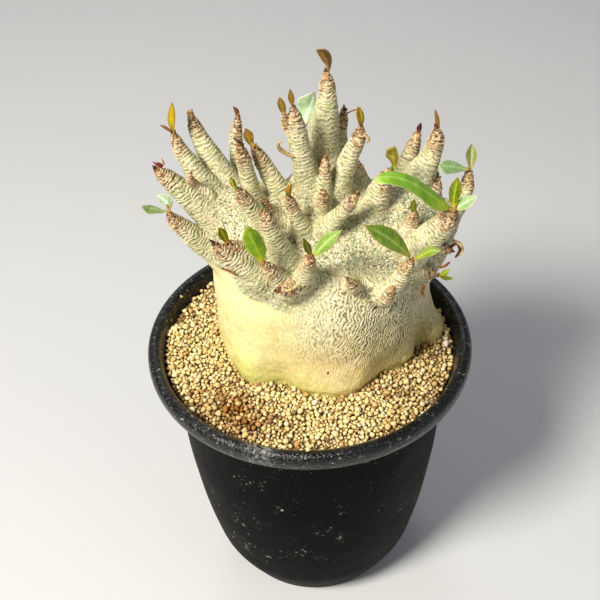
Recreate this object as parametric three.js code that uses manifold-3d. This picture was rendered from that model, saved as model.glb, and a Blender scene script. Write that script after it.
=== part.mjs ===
// Potted desert rose: a caudex with finger-like stems and young leaves,
// growing in gritty soil in a round plastic nursery pot.
// Millimetres, +Z up. The origin is the centre of the pot's bottom rim;
// +X is to the right and -Y is the front.
import * as THREE from 'three';
import { mergeVertices } from 'three/addons/utils/BufferGeometryUtils.js';
import Module from 'manifold-3d';

const wasm = await Module();
wasm.setup();

// ---- driving dimensions -------------------------------------------------
const GAP = 0.3;              // clearance kept between neighbouring pieces
const POT_SIDES = 40;
const POT_HEIGHT = 143;       // foot to the top of the rolled lip
const RIM_R = 75;             // widest radius of the lip
const POT_WALL = 2;
const FLOOR_TOP = 4.4;        // inside floor of the pot
const FLOOR_UNDER = 2.2;      // underside of the floor inside the foot ring
const FOOT_R = 41.5;          // outer radius of the foot ring
const FOOT_INNER_R = 36.5;
const HOLE_R = 4.2;           // drainage holes
const HOLE_RING_R = 25;
const HOLE_COUNT = 6;
const NOTCH_W = 9;            // drain notches cut through the foot ring
const SOIL_Z = 137.2;         // mean soil level
const CAUDEX_C = [9, 10];     // centre of the swollen base, x and y
const BLADE_T = 0.8;          // leaf thickness
const STEM_SIDES = 8;

// Outer pot profile, radius and height, from the foot to the lip.
const POT_OUTER = [
  [FOOT_R, 0], [46.6, 8.6], [51.5, 19], [54.6, 32], [57.5, 48],
  [61.6, 83], [63.6, 122], [64.6, 128.5], [66.4, 131.6],
  [72.6, 133.6], [RIM_R, 139.6], [72.8, POT_HEIGHT],
];
// Inner profile from the lip down to the floor.
const POT_INNER = [
  [70.4, POT_HEIGHT], [68.4, 140.6], [66.6, 134.4],
  [62, 126], [59.6, 83], [55.4, 48],
  [49.4, 22], [43.6, 7.6], [41.4, FLOOR_TOP],
];

// Radius of the swollen base around CAUDEX_C, every 15 degrees from +X
// towards +Y: where it meets the soil, and high up under the stems.
const BASE_R = [52.8, 51, 47, 44, 42, 41, 40.5, 41, 43.5, 45.5, 46, 48.5,
  50.6, 50.8, 51.2, 49.7, 43.8, 43.8, 44, 43.3, 41.6, 41.8, 45, 51.5];
const UPPER_R = [46, 45, 43.5, 41.5, 40, 39, 38.5, 39, 40, 42, 44.5, 48,
  51, 51, 50, 48, 45, 44, 43.5, 43.3, 43, 43.4, 44.4, 45.2];
// Height, scale of the radius, blend from BASE_R (0) to UPPER_R (1), and how
// far the back of the crown is drawn in.
const CAUDEX_LEVELS = [
  [98, 0, 0, 0], [101, 0.36, 0, 0], [110, 0.68, 0, 0], [122, 0.92, 0, 0],
  [132, 1, 0, 0], [138, 1, 0, 0], [146, 1, 0.45, 0],
  [160, 1, 0.85, 0.02], [178, 1, 1, 0.12], [191, 0.96, 1, 0.3], [201, 0.86, 1, 0.45],
  [209, 0.68, 1, 0.5], [215, 0.42, 1, 0.5], [218, 0, 1, 0.5],
];
// Thick arms that carry the stems, and the buried roots: [x, y, z, radius].
const ARMS = [
  [[-34, 6, 209.5, 8], [-25, 6, 201, 15], [-8, 6, 184, 26]],
  [[9.5, 9, 222, 9], [9.5, 9, 213, 13], [8, 8, 194, 23]],
  [[43, 6, 211, 8.5], [38, 3, 201, 15.5], [26, 2, 184, 26]],
  [[57, 2, 204, 5.8], [49, 2, 198, 10], [34, 4, 186, 17]],
];
const ROOTS = [
  [[-30, -34, 76, 2.2], [-24, -26, 96, 5], [-12, -14, 122, 10]],
  [[40, -30, 70, 2.2], [36, -20, 94, 5.4], [24, -8, 122, 11]],
  [[-32, 32, 72, 2.2], [-24, 26, 94, 5], [-8, 20, 122, 10]],
  [[46, 26, 74, 2.2], [38, 22, 96, 5.4], [24, 18, 122, 11]],
  [[6, 8, 52, 2.4], [8, 9, 78, 7], [9, 10, 112, 13]],
];

// Stems from tip to base, [x, y, z, radius]; the last point is inside the
// swollen base. STUBS are short shoots that are one piece with the base.
const STEMS = {
  stem_01: [[-55, -10, 220.7, 1.8], [-53.8, -9.2, 217.5, 2.5], [-51.5, -8, 213.4, 3.2], [-48.3, -6.5, 208.6, 4], [-44.8, -4.8, 202.9, 4.6], [-40.3, -3, 197.6, 5.5], [-34.8, -1, 191.9, 6.5], [-27.2, 0.6, 189.8, 6.1]],
  stem_02: [[-58.9, -2, 237.3, 2], [-56.9, -1.7, 234.6, 2.6], [-53.7, -1.2, 230.7, 3.4], [-49.5, -0.5, 225.1, 4.3], [-44.8, 0.3, 218.8, 5.4], [-39.1, 1.1, 212.4, 6.7], [-33, 2, 205.1, 7.6], [-26.2, 3, 201.1, 7.3]],
  stem_03: [[-52.6, 12, 245.1, 1.6], [-51.4, 11.6, 241.6, 2.2], [-49.8, 11, 237.1, 2.9], [-46.9, 10.4, 232, 3.5], [-44.1, 9.7, 226.4, 4.4], [-40.5, 8.9, 220.2, 5.5], [-35.9, 8, 213.5, 6.8], [-29.5, 8, 208.7, 6.4]],
  stem_04: [[-46, 22, 248.3, 1.4], [-45, 21.3, 244.9, 2.1], [-43.7, 20.3, 240.6, 2.9], [-40.9, 18.9, 234.1, 3.8], [-37.6, 17.4, 228, 4.4], [-33.9, 15.8, 220.8, 5.5], [-29.3, 14, 213.1, 6.9], [-23.3, 13.1, 207.9, 6.5]],
  stem_05: [[-26.9, 30, 240.8, 1.5], [-27.6, 29.3, 236.9, 1.9], [-28.3, 28.7, 232.9, 2.3], [-28.3, 27.7, 226.5, 2.8], [-27.9, 26.6, 219.5, 3.5], [-26.6, 25.3, 211.5, 4.4], [-25, 24, 202.7, 5.8], [-18.8, 21.1, 198.6, 5.5]],
  stem_06: [[-25, -2, 246.5, 2], [-24.2, -1.5, 241, 2.5], [-23.4, -0.9, 234.9, 2.8], [-22.2, -0.2, 228.1, 3.1], [-20.6, 0.5, 220.6, 3.5], [-18.1, 1.3, 212.8, 4.2], [-15.1, 2, 205.4, 5.1], [-9.7, 3.4, 199.6, 4.8]],
  stem_07: [[-19.5, 6, 240.8, 2], [-17.7, 5.7, 236.1, 2.6], [-15.5, 5.4, 231.4, 3.2], [-12.9, 5.1, 225.6, 3.7], [-9.8, 4.7, 219.7, 4.2], [-6.3, 4.4, 213.1, 5.1], [-3.1, 4, 207, 6], [0.1, 5.1, 199.8, 5.7]],
  stem_08: [[-26.2, -16, 235.7, 1.8], [-24.6, -15.1, 231.7, 2.4], [-22.1, -13.8, 226.3, 2.9], [-19.6, -12.7, 221.5, 3.2], [-16.7, -11.4, 215.9, 3.7], [-13.3, -10, 210.1, 4.1], [-9, -6.5, 204.3, 3.9]],
  stem_09: [[-16.6, -26, 232.9, 1.9], [-15.6, -25.4, 228.6, 2.6], [-14.3, -24.7, 223.2, 3.1], [-12.6, -23.9, 217, 3.6], [-10.5, -23, 210.2, 4.4], [-8, -22, 202.5, 5.7], [-4.7, -16.2, 198.1, 5.4]],
  stem_10: [[-6.8, -17, 232.7, 1.5], [-5.7, -16.1, 228.2, 2], [-4.3, -15.1, 223, 2.4], [-2.8, -14.1, 217.7, 3], [-0.9, -13, 211.7, 3.7], [1.1, -8.7, 205.3, 3.5]],
  stem_11: [[-3.5, -4, 265.1, 1], [-3.2, -3.7, 261.9, 1.9], [-2.6, -3.2, 256.7, 2.9], [-2, -2.6, 250, 3.5], [-1, -2, 242.7, 4], [0.4, -1.3, 235.1, 4.6], [2.3, -0.7, 227.3, 5.5], [4.6, 0, 219.3, 6.6], [5.5, 1.6, 211.5, 6.3]],
  stem_12: [[10, 14, 269.3, 1.2], [10.3, 13.9, 266.7, 2], [10.3, 13.7, 261.5, 3], [10.2, 13.5, 255.4, 3.8], [9.3, 13.2, 248.2, 5.3], [8.3, 12.9, 240, 6.2], [7.8, 12.6, 232, 7.1], [8.1, 12.3, 221.8, 8], [8.8, 12, 213.8, 9], [8.8, 11.1, 205.8, 8.5]],
  stem_13: [[17.6, 24, 246.2, 1.7], [17.2, 23.5, 242.7, 2.3], [16.3, 22.7, 237.5, 2.5], [16.2, 21.9, 232.1, 2.7], [15.7, 21, 225.3, 3.6], [14.8, 20, 218.4, 4.7], [13.7, 17.6, 210.8, 4.5]],
  stem_14: [[22.7, -2, 253.1, 1.6], [22, -1.8, 249.4, 2.4], [20.1, -1.5, 244.2, 3], [17.8, -1.1, 238, 3.4], [15.8, -0.7, 231.6, 4.1], [13.7, -0.4, 225.1, 4.9], [12.1, 0, 217.9, 6.2], [11.4, 1.6, 210.1, 5.9]],
  stem_15: [[34.2, -6, 235.7, 1.6], [32.7, -6, 232.4, 2.6], [30.4, -6, 227.2, 3.8], [28.5, -6, 221.4, 4.9], [26.6, -6, 214.9, 5.6], [25.1, -6, 207.3, 6.7], [21.3, -2.8, 201, 6.3]],
  stem_16: [[48.7, 22, 234.5, 1.7], [47.4, 20.9, 231.3, 2.3], [45.8, 19.5, 226.9, 3], [43.2, 17.8, 222.1, 3.8], [40.3, 16.1, 217.2, 4.7], [36.8, 14, 211.1, 6], [31.5, 12.9, 205.2, 5.7]],
  stem_17: [[55.2, 14, 241.5, 1.6], [55.3, 13.4, 238.5, 2.7], [54.2, 12.5, 233.9, 3.3], [52.7, 11.6, 229.2, 4.2], [50.3, 10.6, 224.9, 5.2], [47.1, 9.5, 219.9, 6.3], [42.6, 8, 213.4, 7.6], [36.9, 8, 207.8, 7.3]],
  stem_18: [[69.7, 12, 221.2, 1.7], [69.3, 10.7, 218, 2.3], [68.5, 9, 214.1, 2.7], [66.4, 7.2, 210.3, 3.4], [62.6, 4.8, 206.5, 4.5], [56.4, 2, 203.5, 6], [49.3, 2.9, 200, 5.7]],
  stem_19: [[57.8, -22, 226, 2.4], [56.6, -21.2, 222.6, 3.4], [54.3, -20, 217.8, 4.4], [51.2, -18.5, 212.4, 5.3], [47.2, -16.9, 206.7, 6.1], [41.9, -15, 200.8, 7.1], [36.1, -10.9, 197.1, 6.7]],
  stem_20: [[41, -34, 211.3, 1.4], [39.3, -33.1, 207.6, 2.2], [37.2, -31.9, 202, 2.8], [34.7, -30.5, 196.3, 3.5], [31, -29, 190.4, 4.5], [27, -22.3, 188.5, 4.3]],
  stem_21: [[-17.1, -36, 214.2, 1.8], [-15.7, -35, 211.4, 2.4], [-13.5, -33.6, 207, 3], [-11, -31.9, 201.9, 3.6], [-7.9, -30, 195.9, 4.9], [-4.9, -23.2, 193, 4.6]],
  stem_22: [[-36.1, -26, 216.3, 1.8], [-34.3, -25.5, 213.8, 2.6], [-31.8, -24.8, 210.1, 3.4], [-28.5, -24, 206.2, 4.2], [-24.8, -23.1, 201, 4.9], [-20.2, -22, 195.7, 6.2], [-15, -16.6, 192.9, 5.9]],
  stem_23: [[-31.4, -24, 216, 1.8], [-29.6, -22.8, 213.5, 2.4], [-27.1, -21.2, 210.6, 2.8], [-23.7, -19, 206.1, 3.7], [-18.5, -14.7, 201.9, 3.5]],
  stem_24: [[0.4, 28, 236.4, 1.5], [0.7, 26.4, 231, 2.3], [1.3, 24.5, 224.7, 3.2], [2.3, 21.9, 216.1, 4.3], [3.4, 20, 209.5, 5.7], [4.8, 17, 202.2, 5.4]],
  stem_25: [[10.5, 36, 234.7, 1.7], [10.4, 34.5, 230.6, 2.8], [10.2, 32.2, 224.5, 3.7], [10, 29.4, 217, 4.8], [9.8, 26, 207.8, 6.6], [9.6, 21.6, 201.1, 6.3]],
  stem_26: [[13.3, 52, 213, 1.8], [13.1, 49.4, 210.9, 3], [12.5, 45.8, 207.9, 3.9], [11.8, 41, 204, 5], [10.9, 34, 198.4, 6.8], [10.4, 27.5, 193.8, 6.5]],
};
const STUBS = [
  [[-7, -5, 261.9, 1], [-6.8, -4.5, 258.6, 1.3], [-5.8, -3.9, 254.6, 1.6], [-3.6, -3, 249.4, 2], [-2.2, -1.8, 241.7, 1.9]],
  [[20.8, 14, 228.1, 2.7], [21.2, 12.9, 223.8, 3.8], [22, 11.4, 218.2, 5.1], [21.5, 9.7, 211.7, 6.8], [19.3, 8, 205.7, 7.7], [16.3, 8, 198.2, 7.3]],
  [[8.4, -6, 242.5, 0.8], [8.3, -6, 239.7, 1.7], [8.3, -6, 234.5, 2.2], [7.8, -6, 228.3, 2.6], [6.9, -6, 221.4, 3.5], [7.3, -3.4, 213.8, 3.3]],
  [[7.1, -14, 232.8, 0.8], [7.1, -13.2, 229.9, 1.8], [6.7, -12, 225.2, 2.4], [7.1, -8.8, 217.9, 2.3]],
  [[20.1, -20, 234, 1.2], [18.2, -19.1, 230.6, 2], [15.6, -17.9, 226, 2.6], [12.4, -16.6, 221.3, 3], [8.4, -15, 215.3, 3.9], [8.5, -10.6, 208.6, 3.7]],
  [[56, 10, 220.6, 1.7], [55.2, 8.8, 217.4, 2.5], [52.6, 7, 213.2, 3.8], [46.3, 7.1, 208.3, 3.6]],
  [[43.7, -16, 222.4, 1.1], [43.5, -15.5, 219.6, 1.8], [42.9, -14.8, 215.6, 2.4], [41.6, -14, 211, 3.3], [36.4, -10.5, 206, 3.1]],
  [[33.8, -35, 198.6, 1], [32.9, -33.6, 194.8, 1.8], [31.1, -32, 190.8, 2.7], [27.3, -25.2, 189, 2.5]],
  [[54.6, -18, 190.3, 1], [52.2, -17.5, 190.5, 1.9], [48.8, -16.8, 191.2, 2.9], [44.8, -16, 190.8, 4.2], [38.3, -11.7, 188.8, 4]],
  [[58.3, -18, 203.4, 1.8], [55.9, -17.2, 204, 2.7], [52.3, -16, 204.8, 3.7], [46.1, -12.5, 201.2, 3.5]],
  [[1.2, -38, 218.4, 1.5], [0.4, -36.4, 214.7, 2.2], [-0.8, -34.4, 210.1, 2.8], [-1.7, -32, 204.1, 3.6], [0.1, -25.3, 200.1, 3.4]],
  [[-12.2, -38, 202.4, 1.6], [-10.2, -36.6, 201.6, 2.4], [-7.4, -34.6, 200.8, 3], [-3.8, -32, 200, 4], [-1.6, -25.1, 196.6, 3.8]],
  [[-16.2, -8, 224.9, 0.8], [-16, -7.2, 221.8, 1.6], [-15, -6, 217.4, 2.5], [-10.9, -3.6, 211, 2.3]],
  [[-45.4, -3, 235.4, 0.6], [-46.2, -1.5, 232.1, 1.4], [-44.9, 1, 226.9, 2], [-38.9, 1.8, 221.6, 1.9]],
  [[15.3, -36, 205.5, 0.6], [16.6, -35.1, 202.6, 1.6], [17.8, -34, 199, 2.4], [16.3, -26.8, 195.8, 2.3]],
  [[-50, 34, 215.7, 1.8], [-47.8, 31.9, 213.8, 2.9], [-44.8, 28.8, 211, 3.8], [-40.5, 24.8, 207.7, 5.1], [-35.4, 20, 203.9, 6.6], [-28.5, 18.1, 200.2, 6.3]],
  [[-16.7, 42, 209.5, 1.8], [-15.4, 39.9, 207.1, 2.9], [-13.8, 37.2, 203.9, 3.6], [-11.3, 33.3, 199.4, 5], [-7.5, 28, 193.6, 6.3], [-3, 22.5, 189.9, 6]],
  [[-1, 57, 205.6, 1.9], [-0.2, 53.9, 203.2, 3], [1, 49.2, 199.6, 3.9], [2, 43, 194.8, 5.1], [3.5, 36, 189.6, 6.5], [5, 28.6, 187, 6.1]],
  [[23.9, 60, 203.7, 1.9], [22.8, 56.2, 201.8, 3], [21, 51, 199.2, 4], [19.2, 43.9, 195.6, 5.1], [16.4, 34, 191, 6.9], [14.3, 26.9, 188, 6.5]],
  [[-40.6, 44, 210.9, 1.8], [-38.9, 41.3, 208.8, 2.9], [-36.3, 37.4, 205.9, 3.8], [-32.3, 32.4, 202.6, 5.2], [-27, 26, 198.7, 6.7], [-20.5, 22.8, 195.3, 6.4]],
  [[40, 57, 189.8, 1.9], [38.3, 52.7, 188.8, 2.8], [35.9, 47.1, 187.7, 3.8], [33, 40.7, 186.6, 4.9], [28.7, 32, 185.6, 6.4], [23.7, 25.9, 184.2, 6.1]],
  [[57.9, 38, 211.9, 1.8], [56.4, 35.7, 209.8, 2.9], [53.9, 32.3, 206.8, 3.8], [50, 28, 203.5, 5.1], [44.1, 22, 199.3, 6.7], [37.5, 19.4, 195.7, 6.3]],
  [[46.6, 46, 199.6, 1.8], [45, 43, 197.9, 2.8], [42.8, 39.1, 195.7, 3.7], [39.7, 34.1, 193.2, 4.8], [35.6, 28, 190.4, 6.4], [29.5, 23.4, 188.1, 6]],
];
const LEAVES = {
  leaf_01: { kind: 'green',
    mid: [[-54.4, -10, 222.9], [-56.7, -10.6, 223.1], [-59, -11.2, 223.9], [-61.2, -11.8, 224.9], [-63.4, -12.4, 226], [-65.4, -13, 227.8]],
    left: [[-54.3, -10.6, 223], [-56.6, -11.7, 223.2], [-59, -13.4, 224.1], [-61.2, -15.3, 225.4], [-63.6, -16.2, 226.6], [-65.4, -13.3, 227.8]],
    right: [[-54.4, -9.5, 222.8], [-56.9, -9.4, 222.9], [-59.1, -9, 223.6], [-61.3, -8.7, 224.5], [-63.3, -9.6, 225.6], [-65.3, -12.7, 227.7]] },
  leaf_02: { kind: 'pale',
    mid: [[-55.1, -9, 222.7], [-55.6, -7.5, 224.1], [-56.8, -6, 225], [-58.6, -4.5, 225.5], [-60.6, -3, 225.7]],
    left: [[-55.5, -8.6, 222.3], [-57.5, -5.7, 221.9], [-58.8, -3.8, 221.8], [-59.7, -3, 223], [-60.7, -2.8, 225.4]],
    right: [[-54.7, -8.6, 222.6], [-53.9, -5.7, 223.8], [-55.3, -3.8, 225.6], [-57.8, -3, 226.2], [-60.5, -2.9, 225.7]] },
  leaf_03: { kind: 'yellow',
    mid: [[-52.4, 12, 245.4], [-52.7, 12.4, 248], [-52.8, 12.8, 250.7], [-52.5, 13.2, 253.3], [-52, 13.6, 255.9], [-51.6, 14, 258.5]],
    left: [[-52.9, 12.4, 245], [-53.9, 13.4, 247.3], [-54.4, 14.2, 249.8], [-54.1, 14.6, 252.6], [-53.1, 14.6, 255.5], [-51.8, 14.1, 258.5]],
    right: [[-51.9, 11.5, 245.8], [-51.5, 11.1, 249], [-51, 10.9, 251.8], [-50.8, 11.3, 254.3], [-50.9, 12.3, 256.5], [-51.5, 13.8, 258.6]] },
  leaf_04: { kind: 'brown',
    mid: [[-53.3, 12, 246.1], [-54.3, 12.2, 246.9], [-55.2, 12.5, 247.7], [-56.3, 12.8, 248.3], [-57.4, 13, 248.8]],
    left: [[-53.6, 12.3, 245.6], [-54.7, 12.7, 246.2], [-55.7, 13, 246.8], [-56.6, 13.1, 247.6], [-57.5, 13.1, 248.6]],
    right: [[-53.1, 12.3, 246.3], [-53.9, 12.7, 247.1], [-54.9, 13, 248], [-56.1, 13.1, 248.5], [-57.4, 13.1, 248.9]] },
  leaf_05: { kind: 'brown',
    mid: [[-26.8, 30, 241.1], [-26.9, 30.2, 242.4], [-27.2, 30.5, 243.6], [-27.8, 30.8, 244.7], [-28.5, 31, 245.7]],
    left: [[-27.2, 30.3, 240.8], [-27.7, 30.9, 241.8], [-28.2, 31.3, 242.7], [-28.4, 31.3, 243.9], [-28.8, 31.2, 245.4]],
    right: [[-26.4, 30.3, 240.9], [-26.2, 30.9, 242.2], [-26.3, 31.3, 243.6], [-27.2, 31.3, 244.8], [-28.3, 31.2, 245.8]] },
  leaf_06: { kind: 'brown',
    mid: [[-20.2, 6, 241.3], [-21, 6.5, 243.2], [-21.7, 7, 245.1], [-22.3, 7.5, 247], [-22.8, 8, 248.9]],
    left: [[-20.6, 6.4, 240.8], [-22.3, 7.9, 241.7], [-23.6, 9, 243.1], [-24, 9.3, 245.3], [-23, 8.2, 248.7]],
    right: [[-19.8, 5.8, 241.6], [-19.7, 5.8, 244.2], [-19.8, 6, 246.4], [-20.5, 6.6, 248.1], [-22.6, 7.9, 249]] },
  leaf_07: { kind: 'yellow',
    mid: [[-27, -16, 235.8], [-27.4, -16.5, 237.7], [-27.8, -17, 239.5], [-28.2, -17.5, 241.4], [-28.4, -18, 243.3]],
    left: [[-27.4, -15.7, 235.4], [-28.2, -15.9, 236.9], [-28.9, -16.2, 238.5], [-29, -16.9, 240.7], [-28.6, -17.9, 243.1]],
    right: [[-26.7, -15.7, 235.8], [-26.8, -15.9, 237.6], [-26.9, -16.2, 239.4], [-27.4, -16.9, 241.3], [-28.3, -17.9, 243.2]] },
  leaf_08: { kind: 'brown',
    mid: [[-6.2, -17, 232.2], [-6.5, -17.2, 234], [-6.3, -17.5, 235.8], [-5.7, -17.8, 237.5], [-5.1, -18, 239.1]],
    left: [[-6.6, -16.7, 231.9], [-7.6, -16.4, 233.4], [-7.6, -16.5, 235.5], [-6.6, -17.1, 237.5], [-5.3, -17.9, 239.1]],
    right: [[-5.8, -16.7, 232.1], [-5.5, -16.4, 233.5], [-5.3, -16.5, 234.8], [-5.1, -17.2, 236.7], [-5, -17.9, 238.9]] },
  leaf_09: { kind: 'yellow',
    mid: [[-3.7, -4, 265.3], [-3.8, -4.2, 267.2], [-4, -4.5, 269.1], [-4.2, -4.8, 270.9], [-4.4, -5, 272.8]],
    left: [[-4.1, -3.7, 265.1], [-4.8, -3.4, 266.6], [-5.1, -3.5, 268.4], [-5, -4, 270.4], [-4.5, -4.9, 272.7]],
    right: [[-3.3, -4.4, 265.6], [-2.9, -5.2, 267.9], [-2.9, -5.7, 269.9], [-3.4, -5.6, 271.5], [-4.2, -5.2, 272.9]] },
  leaf_10: { kind: 'yellow',
    mid: [[-6.8, -5, 261.9], [-7.2, -5.2, 264], [-7.6, -5.5, 266.1], [-8.1, -5.8, 268.1], [-8.4, -6, 270.1]],
    left: [[-7.2, -4.7, 261.7], [-8.3, -4.5, 263.3], [-9.1, -4.5, 265], [-9.3, -4.9, 267.3], [-8.6, -5.9, 270]],
    right: [[-6.4, -5.3, 262.2], [-6.2, -6, 264.8], [-6.3, -6.5, 267.1], [-6.9, -6.6, 268.9], [-8.2, -6.1, 270.3]] },
  leaf_11: { kind: 'maroon',
    mid: [[10.8, 14, 269.2], [10.8, 13, 272.1], [10.3, 12, 274.9], [9.3, 11, 277.4], [7.8, 10, 279.6], [6.1, 9, 281.4]],
    left: [[10.4, 14.7, 268.9], [10.1, 14.1, 271.5], [9, 14.3, 273.2], [8, 13.6, 275], [7.1, 11.9, 277.6], [6, 9.3, 281]],
    right: [[11.3, 14.7, 268.8], [12, 14.8, 271.2], [12.4, 15.3, 273.9], [11.6, 15.1, 277], [9.2, 13.2, 279.6], [6.2, 9.4, 281.4]] },
  leaf_12: { kind: 'yellow',
    mid: [[22.5, -2, 253.3], [22.7, -1.5, 255.4], [22.6, -1, 257.4], [22.3, -0.5, 259.4], [21.6, 0, 261.3]],
    left: [[22.1, -2.4, 253.6], [21.5, -2.6, 256.1], [20.9, -2.6, 258.2], [20.7, -2, 259.9], [21.3, -0.2, 261.3]],
    right: [[23, -1.7, 253.1], [23.8, -0.7, 254.8], [24.1, 0, 256.9], [23.5, 0.4, 259.2], [21.8, 0.2, 261.3]] },
  leaf_13: { kind: 'maroon',
    mid: [[35.5, -6, 235.7], [35.7, -6.6, 238.3], [35.7, -7.2, 240.8], [35.4, -7.8, 243.4], [34.8, -8.4, 245.8], [34, -9, 248.2]],
    left: [[35, -5.5, 235.5], [34.8, -5.6, 237.8], [34.1, -5.4, 239.7], [32.7, -4.6, 240.8], [32.3, -5.2, 242.8], [32.6, -7.1, 246.3]],
    right: [[36, -6.4, 235.9], [36.6, -7.5, 238.7], [37, -8.5, 241.6], [36.9, -9.3, 244.6], [36.3, -9.9, 247.4], [35.4, -10.5, 249.8]] },
  leaf_14: { kind: 'red',
    mid: [[48.8, 22, 234.5], [48.9, 22.2, 235.8], [49.1, 22.5, 236.9], [49.4, 22.8, 238.1], [49.8, 23, 239.2]],
    left: [[48.4, 22.3, 234.4], [48.2, 22.9, 235.6], [48.1, 23.3, 236.8], [48.7, 23.3, 238.1], [49.6, 23.2, 239.2]],
    right: [[49.3, 22.3, 234.3], [49.9, 22.9, 235.2], [50.3, 23.3, 236.1], [50.3, 23.3, 237.4], [50.1, 23.2, 239]] },
  leaf_15: { kind: 'yellow',
    mid: [[55.7, 14, 241.3], [55.5, 14.2, 243.5], [55.2, 14.5, 245.7], [54.6, 14.8, 247.9], [54, 15, 250]],
    left: [[55.4, 14.5, 241], [54.9, 15.1, 242.9], [54.5, 15.5, 245], [54.1, 15.6, 247.2], [53.9, 15.2, 249.8]],
    right: [[56, 13.5, 241.6], [56.1, 13.4, 244.1], [55.8, 13.5, 246.4], [55.1, 13.9, 248.5], [54.2, 14.8, 250.1]] },
  leaf_16: { kind: 'blue',
    mid: [[69.6, 11, 223], [66.6, 9.4, 224.7], [63.7, 7.8, 226.3], [60.7, 6.2, 227.9], [57.8, 4.6, 229.3], [54.9, 3, 230.6]],
    left: [[69.5, 10.6, 222.9], [66.3, 8.1, 224.2], [63.1, 5.5, 225.4], [60.1, 3.2, 226.6], [57.3, 1.5, 228], [54.9, 2.8, 230.5]],
    right: [[69.8, 11.7, 223], [67.1, 11.5, 224.6], [64.5, 11.7, 226.1], [61.7, 11.3, 227.6], [58.7, 9.5, 229], [55, 3.4, 230.6]] },
  leaf_17: { kind: 'pale',
    mid: [[70.4, 12, 222.6], [70.4, 12.6, 224.8], [70.4, 13.2, 227], [70.4, 13.8, 229.2], [70.4, 14.4, 231.3], [70.4, 15, 233.4]],
    left: [[69.9, 11.7, 222.9], [68.5, 11.3, 225.8], [67.6, 11.2, 228.5], [67.4, 11.7, 230.8], [68.4, 13, 232.3], [70.1, 14.8, 233.6]],
    right: [[70.8, 11.6, 222.9], [71.6, 11, 225.8], [72.3, 10.8, 228.3], [72.5, 11.2, 230.6], [71.8, 12.7, 232.3], [70.5, 14.8, 233.6]] },
  leaf_18: { kind: 'dark',
    mid: [[56.9, -22, 226.8], [52.3, -24, 231.8], [47.9, -26, 237], [43.4, -28, 241.8], [38.8, -30, 246], [34, -32, 249.3], [29.1, -34, 251.2], [24.7, -36, 250.6]],
    left: [[56.5, -22.9, 226.9], [49.4, -29.9, 232.6], [44.9, -32.2, 237.8], [41.1, -33.4, 242.3], [37.1, -34.9, 246.2], [33, -36.8, 249.3], [29.2, -38.3, 251.2], [24.8, -36.4, 250.6]],
    right: [[57.3, -20.9, 226.5], [53.7, -20.6, 230.9], [49.7, -21.3, 235.7], [45.2, -22.7, 240.5], [40.4, -24.2, 244.7], [35.1, -26.1, 248.2], [29.3, -29.3, 250.4], [24.7, -35.5, 250.5]] },
  leaf_19: { kind: 'yellow',
    mid: [[57.8, -22, 227.2], [58, -21.2, 229.7], [58.2, -20.4, 232.1], [58.5, -19.6, 234.5], [58.9, -18.8, 236.8], [59.3, -18, 239.1]],
    left: [[57.5, -21.7, 227.1], [56.7, -20.3, 229.2], [56.3, -19, 231.5], [56.4, -18, 233.9], [57.4, -17.7, 236.5], [59.1, -17.9, 239.1]],
    right: [[58.2, -22.4, 227.4], [59.2, -22.5, 230.3], [60.1, -22.3, 233], [60.6, -21.7, 235.4], [60.3, -20.3, 237.4], [59.5, -18.2, 239.2]] },
  leaf_20: { kind: 'pale',
    mid: [[58.9, -22, 226.6], [60.2, -22.8, 228.6], [61.5, -23.6, 230.4], [63, -24.4, 232.1], [64.4, -25.2, 233.9], [65.7, -26, 235.6]],
    left: [[58.7, -21.6, 226.7], [59.5, -21, 229], [60.6, -21, 231.1], [62.1, -21.9, 232.8], [63.8, -23.6, 234.3], [65.6, -25.8, 235.7]],
    right: [[59, -22.5, 226.6], [60.8, -24.9, 228.5], [62.3, -26.7, 230.3], [63.6, -27.4, 232], [64.8, -27.1, 233.8], [65.8, -26.3, 235.6]] },
  leaf_21: { kind: 'yellow',
    mid: [[43.3, -16, 220.7], [43.1, -16, 222.6], [43, -16, 224.5], [43, -16, 226.4], [43, -16, 228.2]],
    left: [[42.9, -15.7, 220.4], [42.2, -15.3, 222.1], [41.7, -15, 223.8], [42.1, -15.3, 226], [42.9, -15.9, 228.2]],
    right: [[43.6, -16.3, 220.9], [44, -16.7, 223.1], [44.3, -17, 225.1], [43.9, -16.7, 226.7], [43.2, -16.1, 228.3]] },
  leaf_22: { kind: 'dark',
    mid: [[40.1, -34, 213.3], [37.6, -35.4, 217.4], [35, -36.9, 221.2], [32.4, -38.3, 224.8], [29.7, -39.7, 228.2], [27, -41.1, 231.3], [24.2, -42.6, 234.2], [21.3, -44, 236.9]],
    left: [[39.7, -34.3, 213.1], [36.3, -36.4, 216.6], [33.2, -38.4, 219.9], [30.3, -40.2, 223], [27.7, -41.7, 226.2], [25.4, -42.9, 229.5], [23.3, -43.6, 233], [21.3, -44.1, 236.8]],
    right: [[40.5, -33.5, 213.4], [39, -33.5, 217.5], [37.3, -33.8, 221.6], [35, -34.4, 225.5], [32.1, -35.7, 229], [28.8, -37.8, 232.2], [25.1, -40.6, 234.7], [21.4, -43.8, 236.9]] },
  leaf_23: { kind: 'green',
    mid: [[41.6, -35, 212.7], [43.5, -35.6, 214.5], [45.3, -36.2, 216.1], [47.2, -36.8, 217.6], [49.3, -37.4, 218.7], [51.4, -38, 219.3]],
    left: [[41.5, -34.6, 212.8], [43.1, -34.6, 214.8], [44.9, -34.7, 216.6], [46.8, -34.8, 218.4], [49.2, -35.9, 219.3], [51.4, -37.8, 219.4]],
    right: [[41.8, -35.3, 212.5], [43.8, -36.4, 214.1], [45.8, -37.4, 215.5], [47.7, -38.3, 216.7], [49.4, -38.5, 217.9], [51.4, -38.2, 219.2]] },
  leaf_24: { kind: 'green',
    mid: [[55.6, -18, 190.1], [56.5, -18.5, 191.1], [57.3, -19, 192.3], [58.1, -19.5, 193.5], [58.9, -20, 194.8]],
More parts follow.
